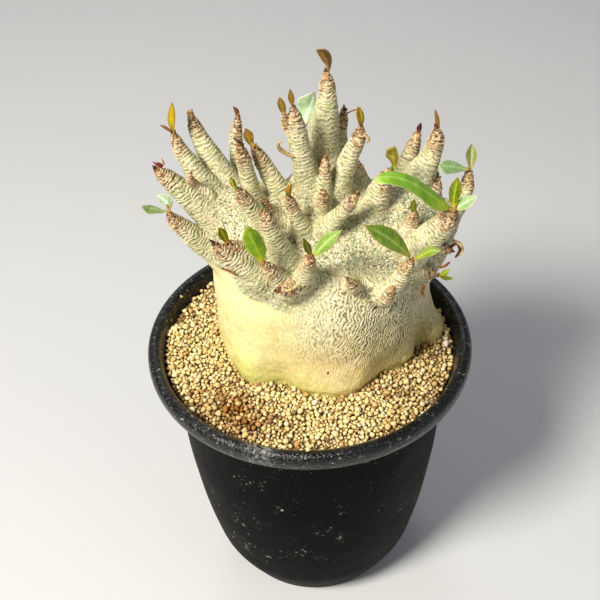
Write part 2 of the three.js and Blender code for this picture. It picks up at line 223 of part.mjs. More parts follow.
    left: [[55.4, -17.7, 190.3], [56.1, -17.7, 191.6], [56.7, -18, 192.8], [57.7, -18.9, 193.8], [58.8, -19.8, 194.9]],
    right: [[55.7, -18.3, 189.9], [56.9, -19.3, 190.6], [57.9, -20, 191.7], [58.5, -20.1, 193.2], [59, -20.2, 194.7]] },
  leaf_25: { kind: 'green',
    mid: [[55.4, -19, 190.1], [56.6, -19.8, 190.2], [57.9, -20.5, 190.4], [59.1, -21.2, 190.9], [60.3, -22, 191.4]],
    left: [[55.4, -19.4, 190.9], [56.6, -20.6, 191.8], [57.7, -21.5, 192.5], [58.9, -21.9, 192.2], [60.2, -22.2, 191.7]],
    right: [[55.4, -18.6, 189.3], [56.7, -18.9, 188.6], [58, -19.5, 188.4], [59.2, -20.6, 189.5], [60.3, -21.8, 191]] },
  leaf_26: { kind: 'green',
    mid: [[2, -38, 218.6], [4.1, -38.8, 221.9], [6.1, -39.6, 225.1], [8.2, -40.4, 228.3], [10.4, -41.2, 231], [12.7, -42, 233.6]],
    left: [[1.7, -37.7, 218.7], [2.9, -37.5, 222.4], [4.4, -37.7, 225.9], [6.5, -38.3, 229.2], [9.4, -39.9, 231.8], [12.6, -41.8, 233.7]],
    right: [[2.3, -38.2, 218.4], [5.3, -39.8, 221.1], [7.8, -41.1, 224], [9.8, -41.9, 226.9], [11.4, -42.2, 230.1], [12.8, -42.1, 233.5]] },
  leaf_27: { kind: 'dark',
    mid: [[1.4, -38, 218.7], [0.6, -38, 221], [-0.1, -38, 223.2], [-0.8, -38, 225.4], [-1.5, -38, 227.6]],
    left: [[1, -38.4, 218.8], [-0.4, -39.1, 221.3], [-1.5, -39.5, 223.6], [-1.8, -39, 225.7], [-1.7, -38.2, 227.7]],
    right: [[1.7, -37.6, 218.6], [1.7, -36.9, 220.7], [1.3, -36.5, 222.7], [0.2, -37, 225.1], [-1.3, -37.8, 227.5]] },
  leaf_28: { kind: 'green',
    mid: [[-17.6, -36, 215], [-18.4, -37.2, 219.7], [-19.5, -38.4, 224.1], [-20.6, -39.6, 228.5], [-21.6, -40.8, 232.8], [-22.4, -42, 237.2]],
    left: [[-18.1, -35.8, 214.7], [-20.7, -36.3, 217.9], [-22.7, -37, 221.3], [-24.1, -38.1, 225.5], [-24.4, -39.6, 230.7], [-22.6, -41.9, 237]],
    right: [[-17.2, -35.8, 215], [-16, -36.2, 220], [-16.2, -36.9, 224.9], [-17.3, -38.1, 229.2], [-18.9, -39.6, 233.2], [-22.2, -41.9, 237.2]] },
  leaf_29: { kind: 'dark',
    mid: [[-31.7, -24, 216], [-32.3, -24.8, 218.5], [-32.9, -25.5, 221], [-33.5, -26.2, 223.5], [-34.2, -27, 225.9]],
    left: [[-32, -24.5, 216.1], [-33.3, -26.3, 218.9], [-34.3, -27.6, 221.6], [-34.8, -28.1, 223.9], [-34.4, -27.3, 225.9]],
    right: [[-31.3, -23.6, 216], [-31.1, -23.6, 218.4], [-31.3, -23.9, 220.9], [-32.1, -24.8, 223.4], [-34, -26.8, 225.9]] },
  leaf_30: { kind: 'blue',
    mid: [[1.3, 28, 236.7], [1.9, 26.8, 240.7], [2.7, 25.6, 244.7], [3.7, 24.4, 248.6], [4.6, 23.2, 252.4], [5.4, 22, 256.2]],
    left: [[0.8, 27.6, 237], [0, 25.1, 242.3], [-0.8, 22.4, 247.9], [-1.8, 19.4, 253.6], [0.7, 19.7, 255.9], [5.1, 21.7, 256.5]],
    right: [[1.8, 29.1, 235.9], [3.5, 30.1, 238.3], [4.9, 30.4, 241.1], [6, 29.6, 244.7], [6.2, 26.7, 249.9], [5.7, 22.7, 255.7]] },
  dry_leaf_01: { kind: 'dry',
    mid: [[58.7, -18, 204.7], [60.4, -18.4, 206.8], [61.8, -18.8, 207.1], [62.8, -19.2, 204.6], [62.1, -19.6, 202.7], [60.7, -20, 201]],
    left: [[58.4, -17.5, 204.8], [60.2, -17.6, 207.1], [62.6, -17.8, 207.2], [64, -18.2, 203.8], [63, -18.9, 201.6], [61, -19.7, 200.4]],
    right: [[58.9, -18.5, 204.6], [60.6, -19.2, 206.5], [61.1, -19.8, 207], [61.6, -20.2, 205.5], [61.3, -20.3, 203.9], [60.4, -20.3, 201.5]] },
};
// ---- helpers ------------------------------------------------------------
function toSolid(geometry) {
  const g = geometry.index ? geometry.toNonIndexed() : geometry.clone();
  g.deleteAttribute('normal');
  g.deleteAttribute('uv');
  const m = mergeVertices(g, 1e-4);
  const src = Array.from(m.index.array);
  const tri = [];
  for (let i = 0; i < src.length; i += 3) {
    const [a, b, c] = [src[i], src[i + 1], src[i + 2]];
    if (a !== b && b !== c && c !== a) tri.push(a, b, c);
  }
  let solid = new wasm.Manifold(new wasm.Mesh({
    numProp: 3,
    vertProperties: new Float32Array(m.attributes.position.array),
    triVerts: new Uint32Array(tri),
  }));
  return solid;
}

function fromSolid(solid) {
  const mesh = solid.getMesh();
  const g = new THREE.BufferGeometry();
  g.setAttribute('position', new THREE.BufferAttribute(new Float32Array(mesh.vertProperties), 3));
  g.setIndex(new THREE.BufferAttribute(new Uint32Array(mesh.triVerts), 1));
  return g;
}

function volumeOf(solid) {
  return solid.volume ? solid.volume() : solid.getProperties().volume;
}

// The largest connected piece of a solid.
function largest(solid) {
  const parts = solid.decompose();
  let best = parts[0];
  for (const p of parts) if (volumeOf(p) > volumeOf(best)) best = p;
  return best;
}

function boxOf(solid) {
  const b = solid.boundingBox();
  return new THREE.Box3(new THREE.Vector3(...b.min), new THREE.Vector3(...b.max));
}

function cut(solid, others) {
  for (const o of others) {
    if (boxOf(solid).intersectsBox(boxOf(o))) solid = solid.subtract(o);
  }
  return largest(solid);
}

// A lathe profile stands along +Y; turn it to stand along +Z.
function latheZ(profile, sides) {
  const g = new THREE.LatheGeometry(profile.map(([r, z]) => new THREE.Vector2(r, z)), sides);
  g.rotateX(Math.PI / 2);
  return g;
}

function mix(a, b, t) { return a + (b - a) * t; }

function table24(t, angle) {
  const a = ((angle / (Math.PI * 2)) * 24 + 48) % 24;
  const i = Math.floor(a);
  const u = a - i;
  const s = u * u * (3 - 2 * u);
  return mix(t[i % 24], t[(i + 1) % 24], mix(u, s, 0.5));
}

// A tapered shoot: a lathe with its axis bent along a curve.
function shoot(points, grow = 0, sides = STEM_SIDES) {
  const path = points.map((p) => new THREE.Vector3(p[0], p[1], p[2]));
  const curve = new THREE.CatmullRomCurve3(path, false, 'centripetal');
  const radii = points.map((p) => p[3] + grow);
  const chord = [0];
  for (let i = 1; i < path.length; i++) chord.push(chord[i - 1] + path[i].distanceTo(path[i - 1]));
  const total = chord[chord.length - 1];
  const n = Math.max(3, Math.min(7, Math.round(total / 7) + 1));
  const radiusAt = (t) => {
    const d = t * total;
    let i = 0;
    while (i < chord.length - 2 && chord[i + 1] < d) i++;
    return mix(radii[i], radii[i + 1], (d - chord[i]) / (chord[i + 1] - chord[i]));
  };
  const pointAt = (t) => {
    const d = t * total;
    let i = 0;
    while (i < chord.length - 2 && chord[i + 1] < d) i++;
    const u = (d - chord[i]) / (chord[i + 1] - chord[i]);
    return curve.getPoint((i + u) / (path.length - 1));
  };
  const rTip = radii[0];
  // Stations along the shoot: rounded tip, body, and a blunt root end.
  const profile = [new THREE.Vector2(0, -0.55 * rTip), new THREE.Vector2(0.72 * rTip, -0.3 * rTip)];
  for (let i = 0; i <= n; i++) profile.push(new THREE.Vector2(radiusAt(i / n), (i / n) * total));
  profile.push(new THREE.Vector2(0, total + 0.4 * radii[radii.length - 1]));
  // The profile runs from tip to root, so the lathe is turned inside out
  // unless its order is reversed.
  const g = new THREE.LatheGeometry(profile, sides);
  const pos = g.attributes.position;
  const dir0 = pointAt(0.01).sub(pointAt(0)).normalize();
  let side = new THREE.Vector3(0, 1, 0);
  side.sub(dir0.clone().multiplyScalar(side.dot(dir0))).normalize();
  const frames = [];
  const steps = 40;
  let prevSide = side.clone();
  for (let i = 0; i <= steps; i++) {
    const t = i / steps;
    const c = pointAt(t);
    const a = pointAt(Math.max(0, t - 0.02));
    const b = pointAt(Math.min(1, t + 0.02));
    const d = b.sub(a).normalize();
    const s = prevSide.clone().sub(d.clone().multiplyScalar(prevSide.dot(d))).normalize();
    prevSide = s;
    frames.push({ c, d, s, b: new THREE.Vector3().crossVectors(d, s) });
  }
  for (let i = 0; i < pos.count; i++) {
    const x = pos.getX(i);
    const y = pos.getY(i);
    const z = pos.getZ(i);
    const t = Math.min(1, Math.max(0, y / total));
    const k = Math.min(steps, Math.round(t * steps));
    const f = frames[k];
    const c = pointAt(t);
    const over = y - t * total;
    c.addScaledVector(f.d, over).addScaledVector(f.s, x).addScaledVector(f.b, z);
    pos.setXYZ(i, c.x, c.y, c.z);
  }
  return toSolid(outward(g));
}

// Turn a closed geometry's faces outward if its volume is negative.
function outward(geometry) {
  const g = geometry.index ? geometry.toNonIndexed() : geometry;
  const p = g.attributes.position;
  let vol = 0;
  const a = new THREE.Vector3();
  const b = new THREE.Vector3();
  const c = new THREE.Vector3();
  for (let i = 0; i < p.count; i += 3) {
    a.fromBufferAttribute(p, i);
    b.fromBufferAttribute(p, i + 1);
    c.fromBufferAttribute(p, i + 2);
    vol += a.dot(b.cross(c));
  }
  if (vol < 0) {
    for (let i = 0; i < p.count; i += 3) {
      a.fromBufferAttribute(p, i + 1);
      b.fromBufferAttribute(p, i + 2);
      p.setXYZ(i + 1, b.x, b.y, b.z);
      p.setXYZ(i + 2, a.x, a.y, a.z);
    }
  }
  return g;
}

// The swollen base with its arms, short shoots and buried roots.
function caudexSolid(grow) {
  const profile = CAUDEX_LEVELS.map(([z, s]) => [s === 0 ? 0 : 1, z]);
  const g = latheZ(profile, 36);
  const pos = g.attributes.position;
  const zLow = CAUDEX_LEVELS[0][0];
  const zHigh = CAUDEX_LEVELS[CAUDEX_LEVELS.length - 1][0];
  for (let i = 0; i < pos.count; i++) {
    const z = pos.getZ(i);
    const level = CAUDEX_LEVELS.find((l) => Math.abs(l[0] - z) < 1e-3);
    const angle = Math.atan2(pos.getY(i), pos.getX(i));
    const drawnIn = 1 - level[3] * Math.max(0, Math.sin(angle));
    const r = level[1] === 0 ? 0
      : mix(table24(BASE_R, angle), table24(UPPER_R, angle), level[2]) * level[1] * drawnIn + grow;
    const dz = z === zLow ? -grow : z === zHigh ? grow : (level[0] - 170) / 50 * grow;
    pos.setXYZ(i, CAUDEX_C[0] + r * Math.cos(angle), CAUDEX_C[1] + r * Math.sin(angle), z + dz);
  }
  let solid = toSolid(outward(g));
  for (const arm of ARMS) solid = solid.add(shoot(arm, grow, 10));
  for (const root of ROOTS) solid = solid.add(shoot(root, grow, 7));
  for (const stub of STUBS) solid = solid.add(shoot(stub, grow, 7));
  return largest(solid);
}

// A thin closed blade through its midrib and its two edges.
function blade({ mid, left, right }, grow = 0) {
  const n = mid.length;
  const g = new THREE.BoxGeometry(1, 1, 1, n - 1, 2, 1);
  const pos = g.attributes.position;
  const V = (p) => new THREE.Vector3(...p);
  for (let i = 0; i < pos.count; i++) {
    const s = Math.round((pos.getX(i) + 0.5) * (n - 1));
    const j = Math.round((pos.getY(i) + 0.5) * 2);
    const k = pos.getZ(i) > 0 ? 1 : -1;
    const m = V(mid[s]);
    const l = V(left[s]);
    const r = V(right[s]);
    const along = V(mid[Math.min(n - 1, s + 1)]).sub(V(mid[Math.max(0, s - 1)])).normalize();
    const across = l.clone().sub(r);
    const width = across.length();
    across.normalize();
    const normal = new THREE.Vector3().crossVectors(along, across).normalize();
    // Blades stay at least a little wide at the tip and the stalk.
    const half = Math.max(width / 2, 0.45) + grow;
    const t = (BLADE_T * Math.min(1, 0.55 + width / 6)) / 2 + grow;
    let p;
    if (j === 1) p = m.clone();
    else {
      const e = j === 2 ? l.clone() : r.clone();
      const sign = j === 2 ? 1 : -1;
      p = width < 0.9 ? m.clone().addScaledVector(across, sign * half) : e.addScaledVector(across, sign * grow);
    }
    p.addScaledVector(normal, k * t);
    if (s === 0) p.addScaledVector(along, -grow);
    if (s === n - 1) p.addScaledVector(along, grow);
    pos.setXYZ(i, p.x, p.y, p.z);
  }
  return toSolid(outward(g));
}

function potSolid() {
  const profile = [[0, FLOOR_UNDER], [FOOT_INNER_R - 1.2, FLOOR_UNDER], [FOOT_INNER_R, 0],
    ...POT_OUTER, ...POT_INNER, [0, FLOOR_TOP]];
  let pot = toSolid(outward(latheZ(profile, POT_SIDES)));
  const holes = [[0, 0]];
  for (let i = 0; i < HOLE_COUNT; i++) {
    const a = ((i + 0.5) / HOLE_COUNT) * Math.PI * 2;
    holes.push([HOLE_RING_R * Math.cos(a), HOLE_RING_R * Math.sin(a)]);
  }
  for (const [x, y] of holes) {
    const h = new THREE.CylinderGeometry(HOLE_R, HOLE_R, 12, 16);
    h.rotateX(Math.PI / 2);
    h.translate(x, y, 3);
    pot = pot.subtract(toSolid(h));
  }
  for (let i = 0; i < 4; i++) {
    const notch = new THREE.BoxGeometry(16, NOTCH_W, 3);
    notch.translate(FOOT_R - 2, 0, 0);
    notch.rotateZ(((i + 0.5) / 4) * Math.PI * 2);
    pot = pot.subtract(toSolid(notch));
  }
  return largest(pot);
}

// Soil fills the pot up to a slightly uneven, gritty surface.
function soilSolid(plant) {
  const clear = 2 * GAP;
  const wall = POT_INNER.slice(2).reverse()
    .map(([r, z], i) => [r - clear, i === 0 ? z + GAP : z]);
  const top = [[66.4, SOIL_Z - 0.6], [63, SOIL_Z], [50, SOIL_Z]];
  const g = latheZ([[0, FLOOR_TOP + GAP], ...wall, ...top, [0, SOIL_Z]], POT_SIDES);
  const pos = g.attributes.position;
  for (let i = 0; i < pos.count; i++) {
    const x = pos.getX(i);
    const y = pos.getY(i);
    const z = pos.getZ(i);
    if (z > 135) {
      const grit = 0.45 * Math.sin(x * 0.31 + 1.3) * Math.cos(y * 0.27 - 0.4) - 0.012 * x;
      pos.setZ(i, z + grit);
    }
  }
  return largest(toSolid(outward(g)).subtract(plant));
}

// ---- materials ----------------------------------------------------------
const finish = (color, roughness) => () => new THREE.MeshStandardMaterial({ color, roughness, metalness: 0 });
const potFinish = finish(0x17191b, 0.55);
const soilFinish = finish(0xc9a873, 0.95);
const caudexFinish = finish(0xc9c39a, 0.8);
const stemFinish = finish(0xa9a184, 0.85);
const leafFinish = {
  green: finish(0x5f9a2c, 0.45),
  dark: finish(0x4d7a34, 0.42),
  pale: finish(0x9fc5a0, 0.5),
  blue: finish(0x86b093, 0.5),
  yellow: finish(0xa2922f, 0.5),
  brown: finish(0x8d5a22, 0.55),
  maroon: finish(0x6f4a33, 0.5),
  red: finish(0x7c2a20, 0.55),
  dry: finish(0x9a7448, 0.9),
};

// ---- assembly -----------------------------------------------------------
const plant = new THREE.Group();
function addMesh(name, solid, material) {
  const mesh = new THREE.Mesh(fromSolid(solid), material);
  mesh.name = name;
  plant.add(mesh);
}

addMesh('pot', potSolid(), potFinish());

const caudex = caudexSolid(0);
const caudexClear = caudexSolid(GAP);
addMesh('soil', soilSolid(caudexClear), soilFinish());
addMesh('caudex', caudex, caudexFinish());

const stemClear = [];
for (const [name, points] of Object.entries(STEMS)) {
  const solid = cut(shoot(points), [caudexClear, ...stemClear]);
  stemClear.push(shoot(points, GAP));
  addMesh(name, solid, stemFinish());
}

const leafClear = [];
for (const [name, leaf] of Object.entries(LEAVES)) {
  const solid = cut(blade(leaf), [caudexClear, ...stemClear, ...leafClear]);
  leafClear.push(blade(leaf, GAP));
  addMesh(name, solid, leafFinish[leaf.kind]());
}

export default plant;
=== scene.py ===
import math
import bpy
import numpy as np
from mathutils import Matrix, Vector
from mathutils.kdtree import KDTree


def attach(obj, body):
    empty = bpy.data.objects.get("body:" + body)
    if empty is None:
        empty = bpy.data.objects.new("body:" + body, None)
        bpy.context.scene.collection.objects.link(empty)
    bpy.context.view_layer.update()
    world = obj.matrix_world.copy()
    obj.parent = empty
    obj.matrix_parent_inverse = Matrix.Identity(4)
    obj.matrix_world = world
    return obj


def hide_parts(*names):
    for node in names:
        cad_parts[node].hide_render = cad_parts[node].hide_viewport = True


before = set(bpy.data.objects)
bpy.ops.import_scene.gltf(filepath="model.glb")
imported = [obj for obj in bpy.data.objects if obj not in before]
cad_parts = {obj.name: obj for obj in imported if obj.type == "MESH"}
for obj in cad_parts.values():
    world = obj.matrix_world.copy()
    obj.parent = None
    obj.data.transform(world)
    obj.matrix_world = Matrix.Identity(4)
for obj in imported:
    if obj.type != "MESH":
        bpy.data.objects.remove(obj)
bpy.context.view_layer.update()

ROOT = "root"
MM = 0.001

# ---------------------------------------------------------------- dimensions
RIM_R = 75.0
POT_HEIGHT = 143.0
FOOT_R = 41.5
SOIL_Z = 137.2
CAUDEX_C = (9.0, 10.0)
BASE_R = [52.8, 51, 47, 44, 42, 41, 40.5, 41, 43.5, 45.5, 46, 48.5,
          50.6, 50.8, 51.2, 49.7, 43.8, 43.8, 44, 43.3, 41.6, 41.8, 45, 51.5]
UPPER_R = [46, 45, 43.5, 41.5, 40, 39, 38.5, 39, 40, 42, 44.5, 48,
           51, 51, 50, 48, 45, 44, 43.5, 43.3, 43, 43.4, 44.4, 45.2]
# height, radius scale, blend from BASE_R to UPPER_R, back drawn in
LEVELS = [(98, 0, 0, 0), (101, .36, 0, 0), (110, .68, 0, 0), (122, .92, 0, 0), (132, 1, 0, 0),
          (138, 1, 0, 0), (146, 1, .45, 0), (160, 1, .85, .02), (178, 1, 1, .12), (191, .96, 1, .3),
          (201, .86, 1, .45), (209, .68, 1, .5), (215, .42, 1, .5), (218, 0, 1, .5)]
# how far the outline at the grit line stands out from BASE_R, by angle in degrees
BASE_LOBES = [(0, .6), (30, 0), (150, 0), (179, 1.0), (198, -1.3), (211, -.4), (221, 2.2), (227, .6), (233, -2.8), (239, -2.2),
              (244, -1.2), (250, 1.0), (257, 1.7), (264, 2.6), (272, 2.6), (279, 3.0), (287, 1.8), (296, -.6), (305, -2.2),
              (312, -1), (319, 1.2), (326, .8), (332, -1.8), (337, -6), (342, -6.2), (345.5, -2), (349, 1.0), (356, .9), (360, .6)]
ARMS = [
    [(-34, 6, 209.5, 8), (-25, 6, 201, 15), (-8, 6, 184, 26)],
    [(9.5, 9, 222, 9), (9.5, 9, 213, 13), (8, 8, 194, 23)],
    [(43, 6, 211, 8.5), (38, 3, 201, 15.5), (26, 2, 184, 26)],
    [(57, 2, 204, 5.8), (49, 2, 198, 10), (34, 4, 186, 17)],
]
# Stems and short shoots from tip to base: (x, y, z, radius), in millimetres.
STEMS = {
    "stem_01": [(-55.02,-10,220.68,1.83), (-53.81,-9.17,217.5,2.45), (-51.46,-7.97,213.45,3.19), (-48.33,-6.49,208.57,3.95), (-44.78,-4.83,202.93,4.63), (-40.26,-3.03,197.57,5.54), (-34.79,-1,191.9,6.47), (-27.22,0.56,189.84,6.15)],
    "stem_02": [(-58.93,-2,237.29,2), (-56.87,-1.65,234.57,2.62), (-53.72,-1.15,230.69,3.45), (-49.47,-0.46,225.11,4.31), (-44.78,0.29,218.84,5.39), (-39.15,1.12,212.36,6.71), (-33.01,2,205.15,7.65), (-26.19,2.97,201.07,7.27)],
    "stem_03": [(-52.62,12,245.15,1.63), (-51.36,11.57,241.57,2.25), (-49.76,11.03,237.05,2.88), (-46.94,10.37,232,3.52), (-44.13,9.68,226.41,4.38), (-40.47,8.89,220.24,5.46), (-35.94,8,213.48,6.78), (-29.53,8,208.7,6.45)],
    "stem_04": [(-45.98,22,248.27,1.44), (-45.03,21.26,244.89,2.07), (-43.74,20.33,240.62,2.91), (-40.94,18.86,234.13,3.77), (-37.63,17.43,227.99,4.43), (-33.92,15.8,220.84,5.53), (-29.32,14,213.11,6.86), (-23.31,13.06,207.92,6.52)],
    "stem_05": [(-26.89,30,240.82,1.48), (-27.57,29.35,236.86,1.91), (-28.27,28.7,232.86,2.35), (-28.26,27.69,226.5,2.8), (-27.86,26.6,219.54,3.47), (-26.63,25.34,211.47,4.38), (-24.97,24,202.73,5.76), (-18.78,21.08,198.59,5.47)],
    "stem_06": [(-25,-2,246.55,1.97), (-24.19,-1.45,241.04,2.49), (-23.39,-0.86,234.91,2.82), (-22.21,-0.2,228.11,3.06), (-20.61,0.51,220.59,3.52), (-18.13,1.27,212.81,4.19), (-15.13,2,205.36,5.1), (-9.7,3.35,199.64,4.84)],
    "stem_07": [(-19.48,6,240.79,2.02), (-17.71,5.73,236.12,2.65), (-15.51,5.44,231.37,3.18), (-12.9,5.1,225.58,3.73), (-9.84,4.74,219.67,4.18), (-6.31,4.35,213.14,5.06), (-3.13,4,207,5.95), (0.12,5.07,199.77,5.66)],
    "stem_08": [(-26.23,-16,235.75,1.76), (-24.56,-15.07,231.69,2.37), (-22.14,-13.83,226.35,2.89), (-19.63,-12.68,221.46,3.23), (-16.7,-11.38,215.85,3.67), (-13.28,-10,210.06,4.13), (-8.99,-6.53,204.27,3.92)],
    "stem_09": [(-16.57,-26,232.88,1.93), (-15.63,-25.43,228.6,2.62), (-14.33,-24.7,223.16,3.14), (-12.64,-23.89,217.02,3.58), (-10.53,-22.99,210.15,4.43), (-7.97,-22,202.51,5.72), (-4.67,-16.17,198.13,5.43)],
    "stem_10": [(-6.78,-17,232.69,1.47), (-5.74,-16.13,228.19,1.98), (-4.3,-15.13,223.01,2.4), (-2.83,-14.13,217.73,3.03), (-0.93,-13,211.73,3.68), (1.09,-8.73,205.28,3.5)],
    "stem_11": [(-3.47,-4,265.11,0.95), (-3.19,-3.7,261.89,1.92), (-2.58,-3.23,256.73,2.9), (-1.99,-2.64,250.05,3.53), (-1,-2,242.69,3.97), (0.41,-1.34,235.11,4.63), (2.27,-0.68,227.31,5.51), (4.6,0,219.28,6.63), (5.48,1.59,211.48,6.3)],
    "shoot_s11b": [(-7.04,-5,261.94,0.96), (-6.79,-4.48,258.55,1.35), (-5.77,-3.86,254.57,1.55), (-3.59,-3,249.43,1.96), (-2.18,-1.77,241.65,1.86)],
    "stem_12": [(9.97,14,269.28,1.18), (10.33,13.9,266.71,1.97), (10.26,13.7,261.53,2.98), (10.18,13.47,255.38,3.81), (9.28,13.2,248.24,5.27), (8.34,12.9,240,6.16), (7.8,12.62,232,7.06), (8.06,12.27,221.79,8.01), (8.79,12,213.77,8.96), (8.84,11.06,205.83,8.52)],
    "stem_13": [(17.61,24,246.22,1.66), (17.16,23.48,242.75,2.29), (16.28,22.7,237.49,2.52), (16.22,21.93,232.11,2.75), (15.73,20.97,225.29,3.62), (14.8,20,218.36,4.73), (13.65,17.64,210.8,4.49)],
    "stem_14": [(22.74,-2,253.09,1.56), (22.01,-1.79,249.37,2.36), (20.1,-1.47,244.2,2.98), (17.75,-1.1,237.98,3.41), (15.76,-0.74,231.61,4.06), (13.73,-0.38,225.1,4.92), (12.06,0,217.92,6.23), (11.43,1.65,210.12,5.92)],
    "shoot_a1": [(20.8,14,228.06,2.72), (21.17,12.86,223.81,3.79), (21.96,11.38,218.21,5.08), (21.47,9.68,211.7,6.82), (19.25,8,205.67,7.72), (16.29,8,198.24,7.34)],
    "shoot_s15": [(8.36,-6,242.5,0.79), (8.33,-6,239.7,1.68), (8.26,-6,234.5,2.2), (7.78,-6,228.25,2.62), (6.87,-6,221.4,3.47), (7.26,-3.44,213.83,3.3)],
    "shoot_s16": [(7.1,-14,232.83,0.79), (7.09,-13.23,229.9,1.79), (6.68,-12,225.16,2.41), (7.05,-8.76,217.86,2.29)],
    "shoot_s17": [(20.11,-20,234.01,1.17), (18.24,-19.11,230.62,1.96), (15.56,-17.9,226.03,2.58), (12.44,-16.61,221.32,3), (8.44,-15,215.33,3.85), (8.54,-10.64,208.62,3.66)],
    "stem_15": [(34.23,-6,235.7,1.6), (32.72,-6,232.43,2.61), (30.43,-6,227.21,3.84), (28.53,-6,221.38,4.9), (26.59,-6,214.94,5.57), (25.05,-6,207.3,6.68), (21.34,-2.77,201,6.35)],
    "stem_16": [(48.66,22,234.55,1.68), (47.43,20.94,231.34,2.32), (45.77,19.49,226.89,2.97), (43.25,17.83,222.06,3.83), (40.26,16.11,217.24,4.7), (36.83,14,211.09,6.02), (31.55,12.86,205.19,5.72)],
    "stem_17": [(55.21,14,241.53,1.64), (55.32,13.44,238.54,2.68), (54.24,12.52,233.87,3.31), (52.73,11.58,229.17,4.16), (50.34,10.65,224.95,5.23), (47.1,9.49,219.86,6.32), (42.56,8,213.44,7.63), (36.9,8,207.8,7.25)],
    "shoot_s20b": [(55.96,10,220.62,1.68), (55.16,8.81,217.42,2.53), (52.64,7,213.16,3.81), (46.27,7.15,208.32,3.62)],
    "stem_18": [(69.7,12,221.17,1.69), (69.33,10.68,218.04,2.33), (68.55,9,214.12,2.65), (66.44,7.16,210.34,3.4), (62.56,4.83,206.45,4.48), (56.4,2,203.55,5.96), (49.28,2.9,200.01,5.67)],
    "stem_19": [(57.81,-22,226.03,2.36), (56.59,-21.18,222.57,3.37), (54.28,-19.97,217.84,4.4), (51.18,-18.52,212.39,5.26), (47.2,-16.9,206.73,6.14), (41.91,-15,200.82,7.05), (36.09,-10.93,197.13,6.7)],
    "shoot_s23": [(43.7,-16,222.36,1.1), (43.49,-15.52,219.56,1.81), (42.93,-14.84,215.58,2.43), (41.59,-14,210.96,3.27), (36.38,-10.48,206.02,3.11)],
    "stem_20": [(41.02,-34,211.28,1.38), (39.3,-33.1,207.59,2.18), (37.25,-31.86,202.04,2.81), (34.75,-30.55,196.34,3.45), (30.98,-29,190.39,4.52), (27,-22.31,188.51,4.3)],
    "shoot_s25": [(33.85,-35,198.55,1), (32.88,-33.64,194.8,1.82), (31.11,-32,190.8,2.66), (27.34,-25.19,188.96,2.52)],
    "shoot_s26": [(54.63,-18,190.29,1.05), (52.16,-17.5,190.54,1.89), (48.84,-16.82,191.24,2.94), (44.75,-16,190.77,4.21), (38.31,-11.67,188.83,4)],
    "shoot_s27": [(58.34,-18,203.42,1.85), (55.95,-17.2,203.95,2.67), (52.35,-16,204.76,3.7), (46.09,-12.53,201.18,3.52)],
    "shoot_s28": [(1.24,-38,218.4,1.54), (0.44,-36.41,214.69,2.24), (-0.79,-34.43,210.14,2.76), (-1.67,-32,204.08,3.6), (0.11,-25.32,200.06,3.42)],
    "stem_21": [(-17.14,-36,214.22,1.76), (-15.72,-35.04,211.36,2.36), (-13.55,-33.6,207.02,2.98), (-10.96,-31.92,201.87,3.61), (-7.93,-30,195.89,4.88), (-4.89,-23.17,193.03,4.64)],
    "stem_22": [(-36.1,-26,216.27,1.78), (-34.33,-25.52,213.8,2.59), (-31.84,-24.84,210.08,3.41), (-28.52,-24.03,206.19,4.25), (-24.81,-23.07,201.05,4.9), (-20.21,-22,195.68,6.2), (-14.98,-16.63,192.88,5.89)],
    "stem_23": [(-31.42,-24,216,1.79), (-29.64,-22.77,213.45,2.4), (-27.06,-21.17,210.55,2.83), (-23.73,-19,206.11,3.68), (-18.48,-14.66,201.92,3.49)],
    "shoot_s32": [(-12.2,-38,202.35,1.59), (-10.23,-36.6,201.59,2.39), (-7.43,-34.6,200.81,3), (-3.79,-32,200.01,4.03), (-1.59,-25.12,196.57,3.82)],
    "shoot_s33": [(-16.23,-8,224.88,0.81), (-15.99,-7.2,221.82,1.63), (-14.98,-6,217.4,2.47), (-10.86,-3.6,210.98,2.34)],
    "shoot_s35": [(-45.42,-3,235.42,0.6), (-46.25,-1.51,232.05,1.42), (-44.87,1,226.86,2.05), (-38.86,1.78,221.63,1.95)],
    "shoot_s37": [(15.3,-36,205.51,0.59), (16.56,-35.08,202.62,1.59), (17.84,-34,199.03,2.41), (16.34,-26.84,195.79,2.29)],
    "stem_24": [(0.44,28,236.44,1.48), (0.68,26.36,231.04,2.35), (1.32,24.46,224.7,3.22), (2.33,21.92,216.11,4.33), (3.42,20,209.53,5.66), (4.8,17.03,202.23,5.38)],
    "stem_25": [(10.54,36,234.66,1.73), (10.42,34.46,230.62,2.81), (10.25,32.15,224.49,3.7), (10.04,29.38,217.04,4.82), (9.77,26,207.77,6.62), (9.59,21.65,201.06,6.29)],
    "stem_26": [(13.29,52,212.99,1.83), (13.15,49.43,210.87,2.97), (12.49,45.75,207.89,3.88), (11.77,40.97,204.03,5.01), (10.93,34,198.43,6.8), (10.45,27.49,193.81,6.46)],
    "shoot_b0": [(-49.96,34,215.7,1.77), (-47.82,31.89,213.84,2.87), (-44.83,28.8,211.02,3.75), (-40.53,24.78,207.73,5.07), (-35.39,20,203.89,6.59), (-28.54,18.15,200.2,6.26)],
    "shoot_b1": [(-16.65,42,209.49,1.81), (-15.42,39.91,207.05,2.94), (-13.76,37.21,203.92,3.62), (-11.28,33.28,199.41,4.98), (-7.5,28,193.59,6.33), (-2.99,22.53,189.87,6.01)],
    "shoot_b2": [(-1,57,205.62,1.86), (-0.21,53.87,203.2,3.03), (0.96,49.18,199.61,3.95), (2.05,43,194.84,5.09), (3.55,36,189.57,6.45), (5,28.56,187.03,6.13)],
    "shoot_b4": [(23.94,60,203.69,1.88), (22.77,56.21,201.76,3.04), (21.05,50.96,199.17,3.96), (19.23,43.93,195.65,5.09), (16.36,34,190.96,6.88), (14.34,26.87,187.96,6.53)],
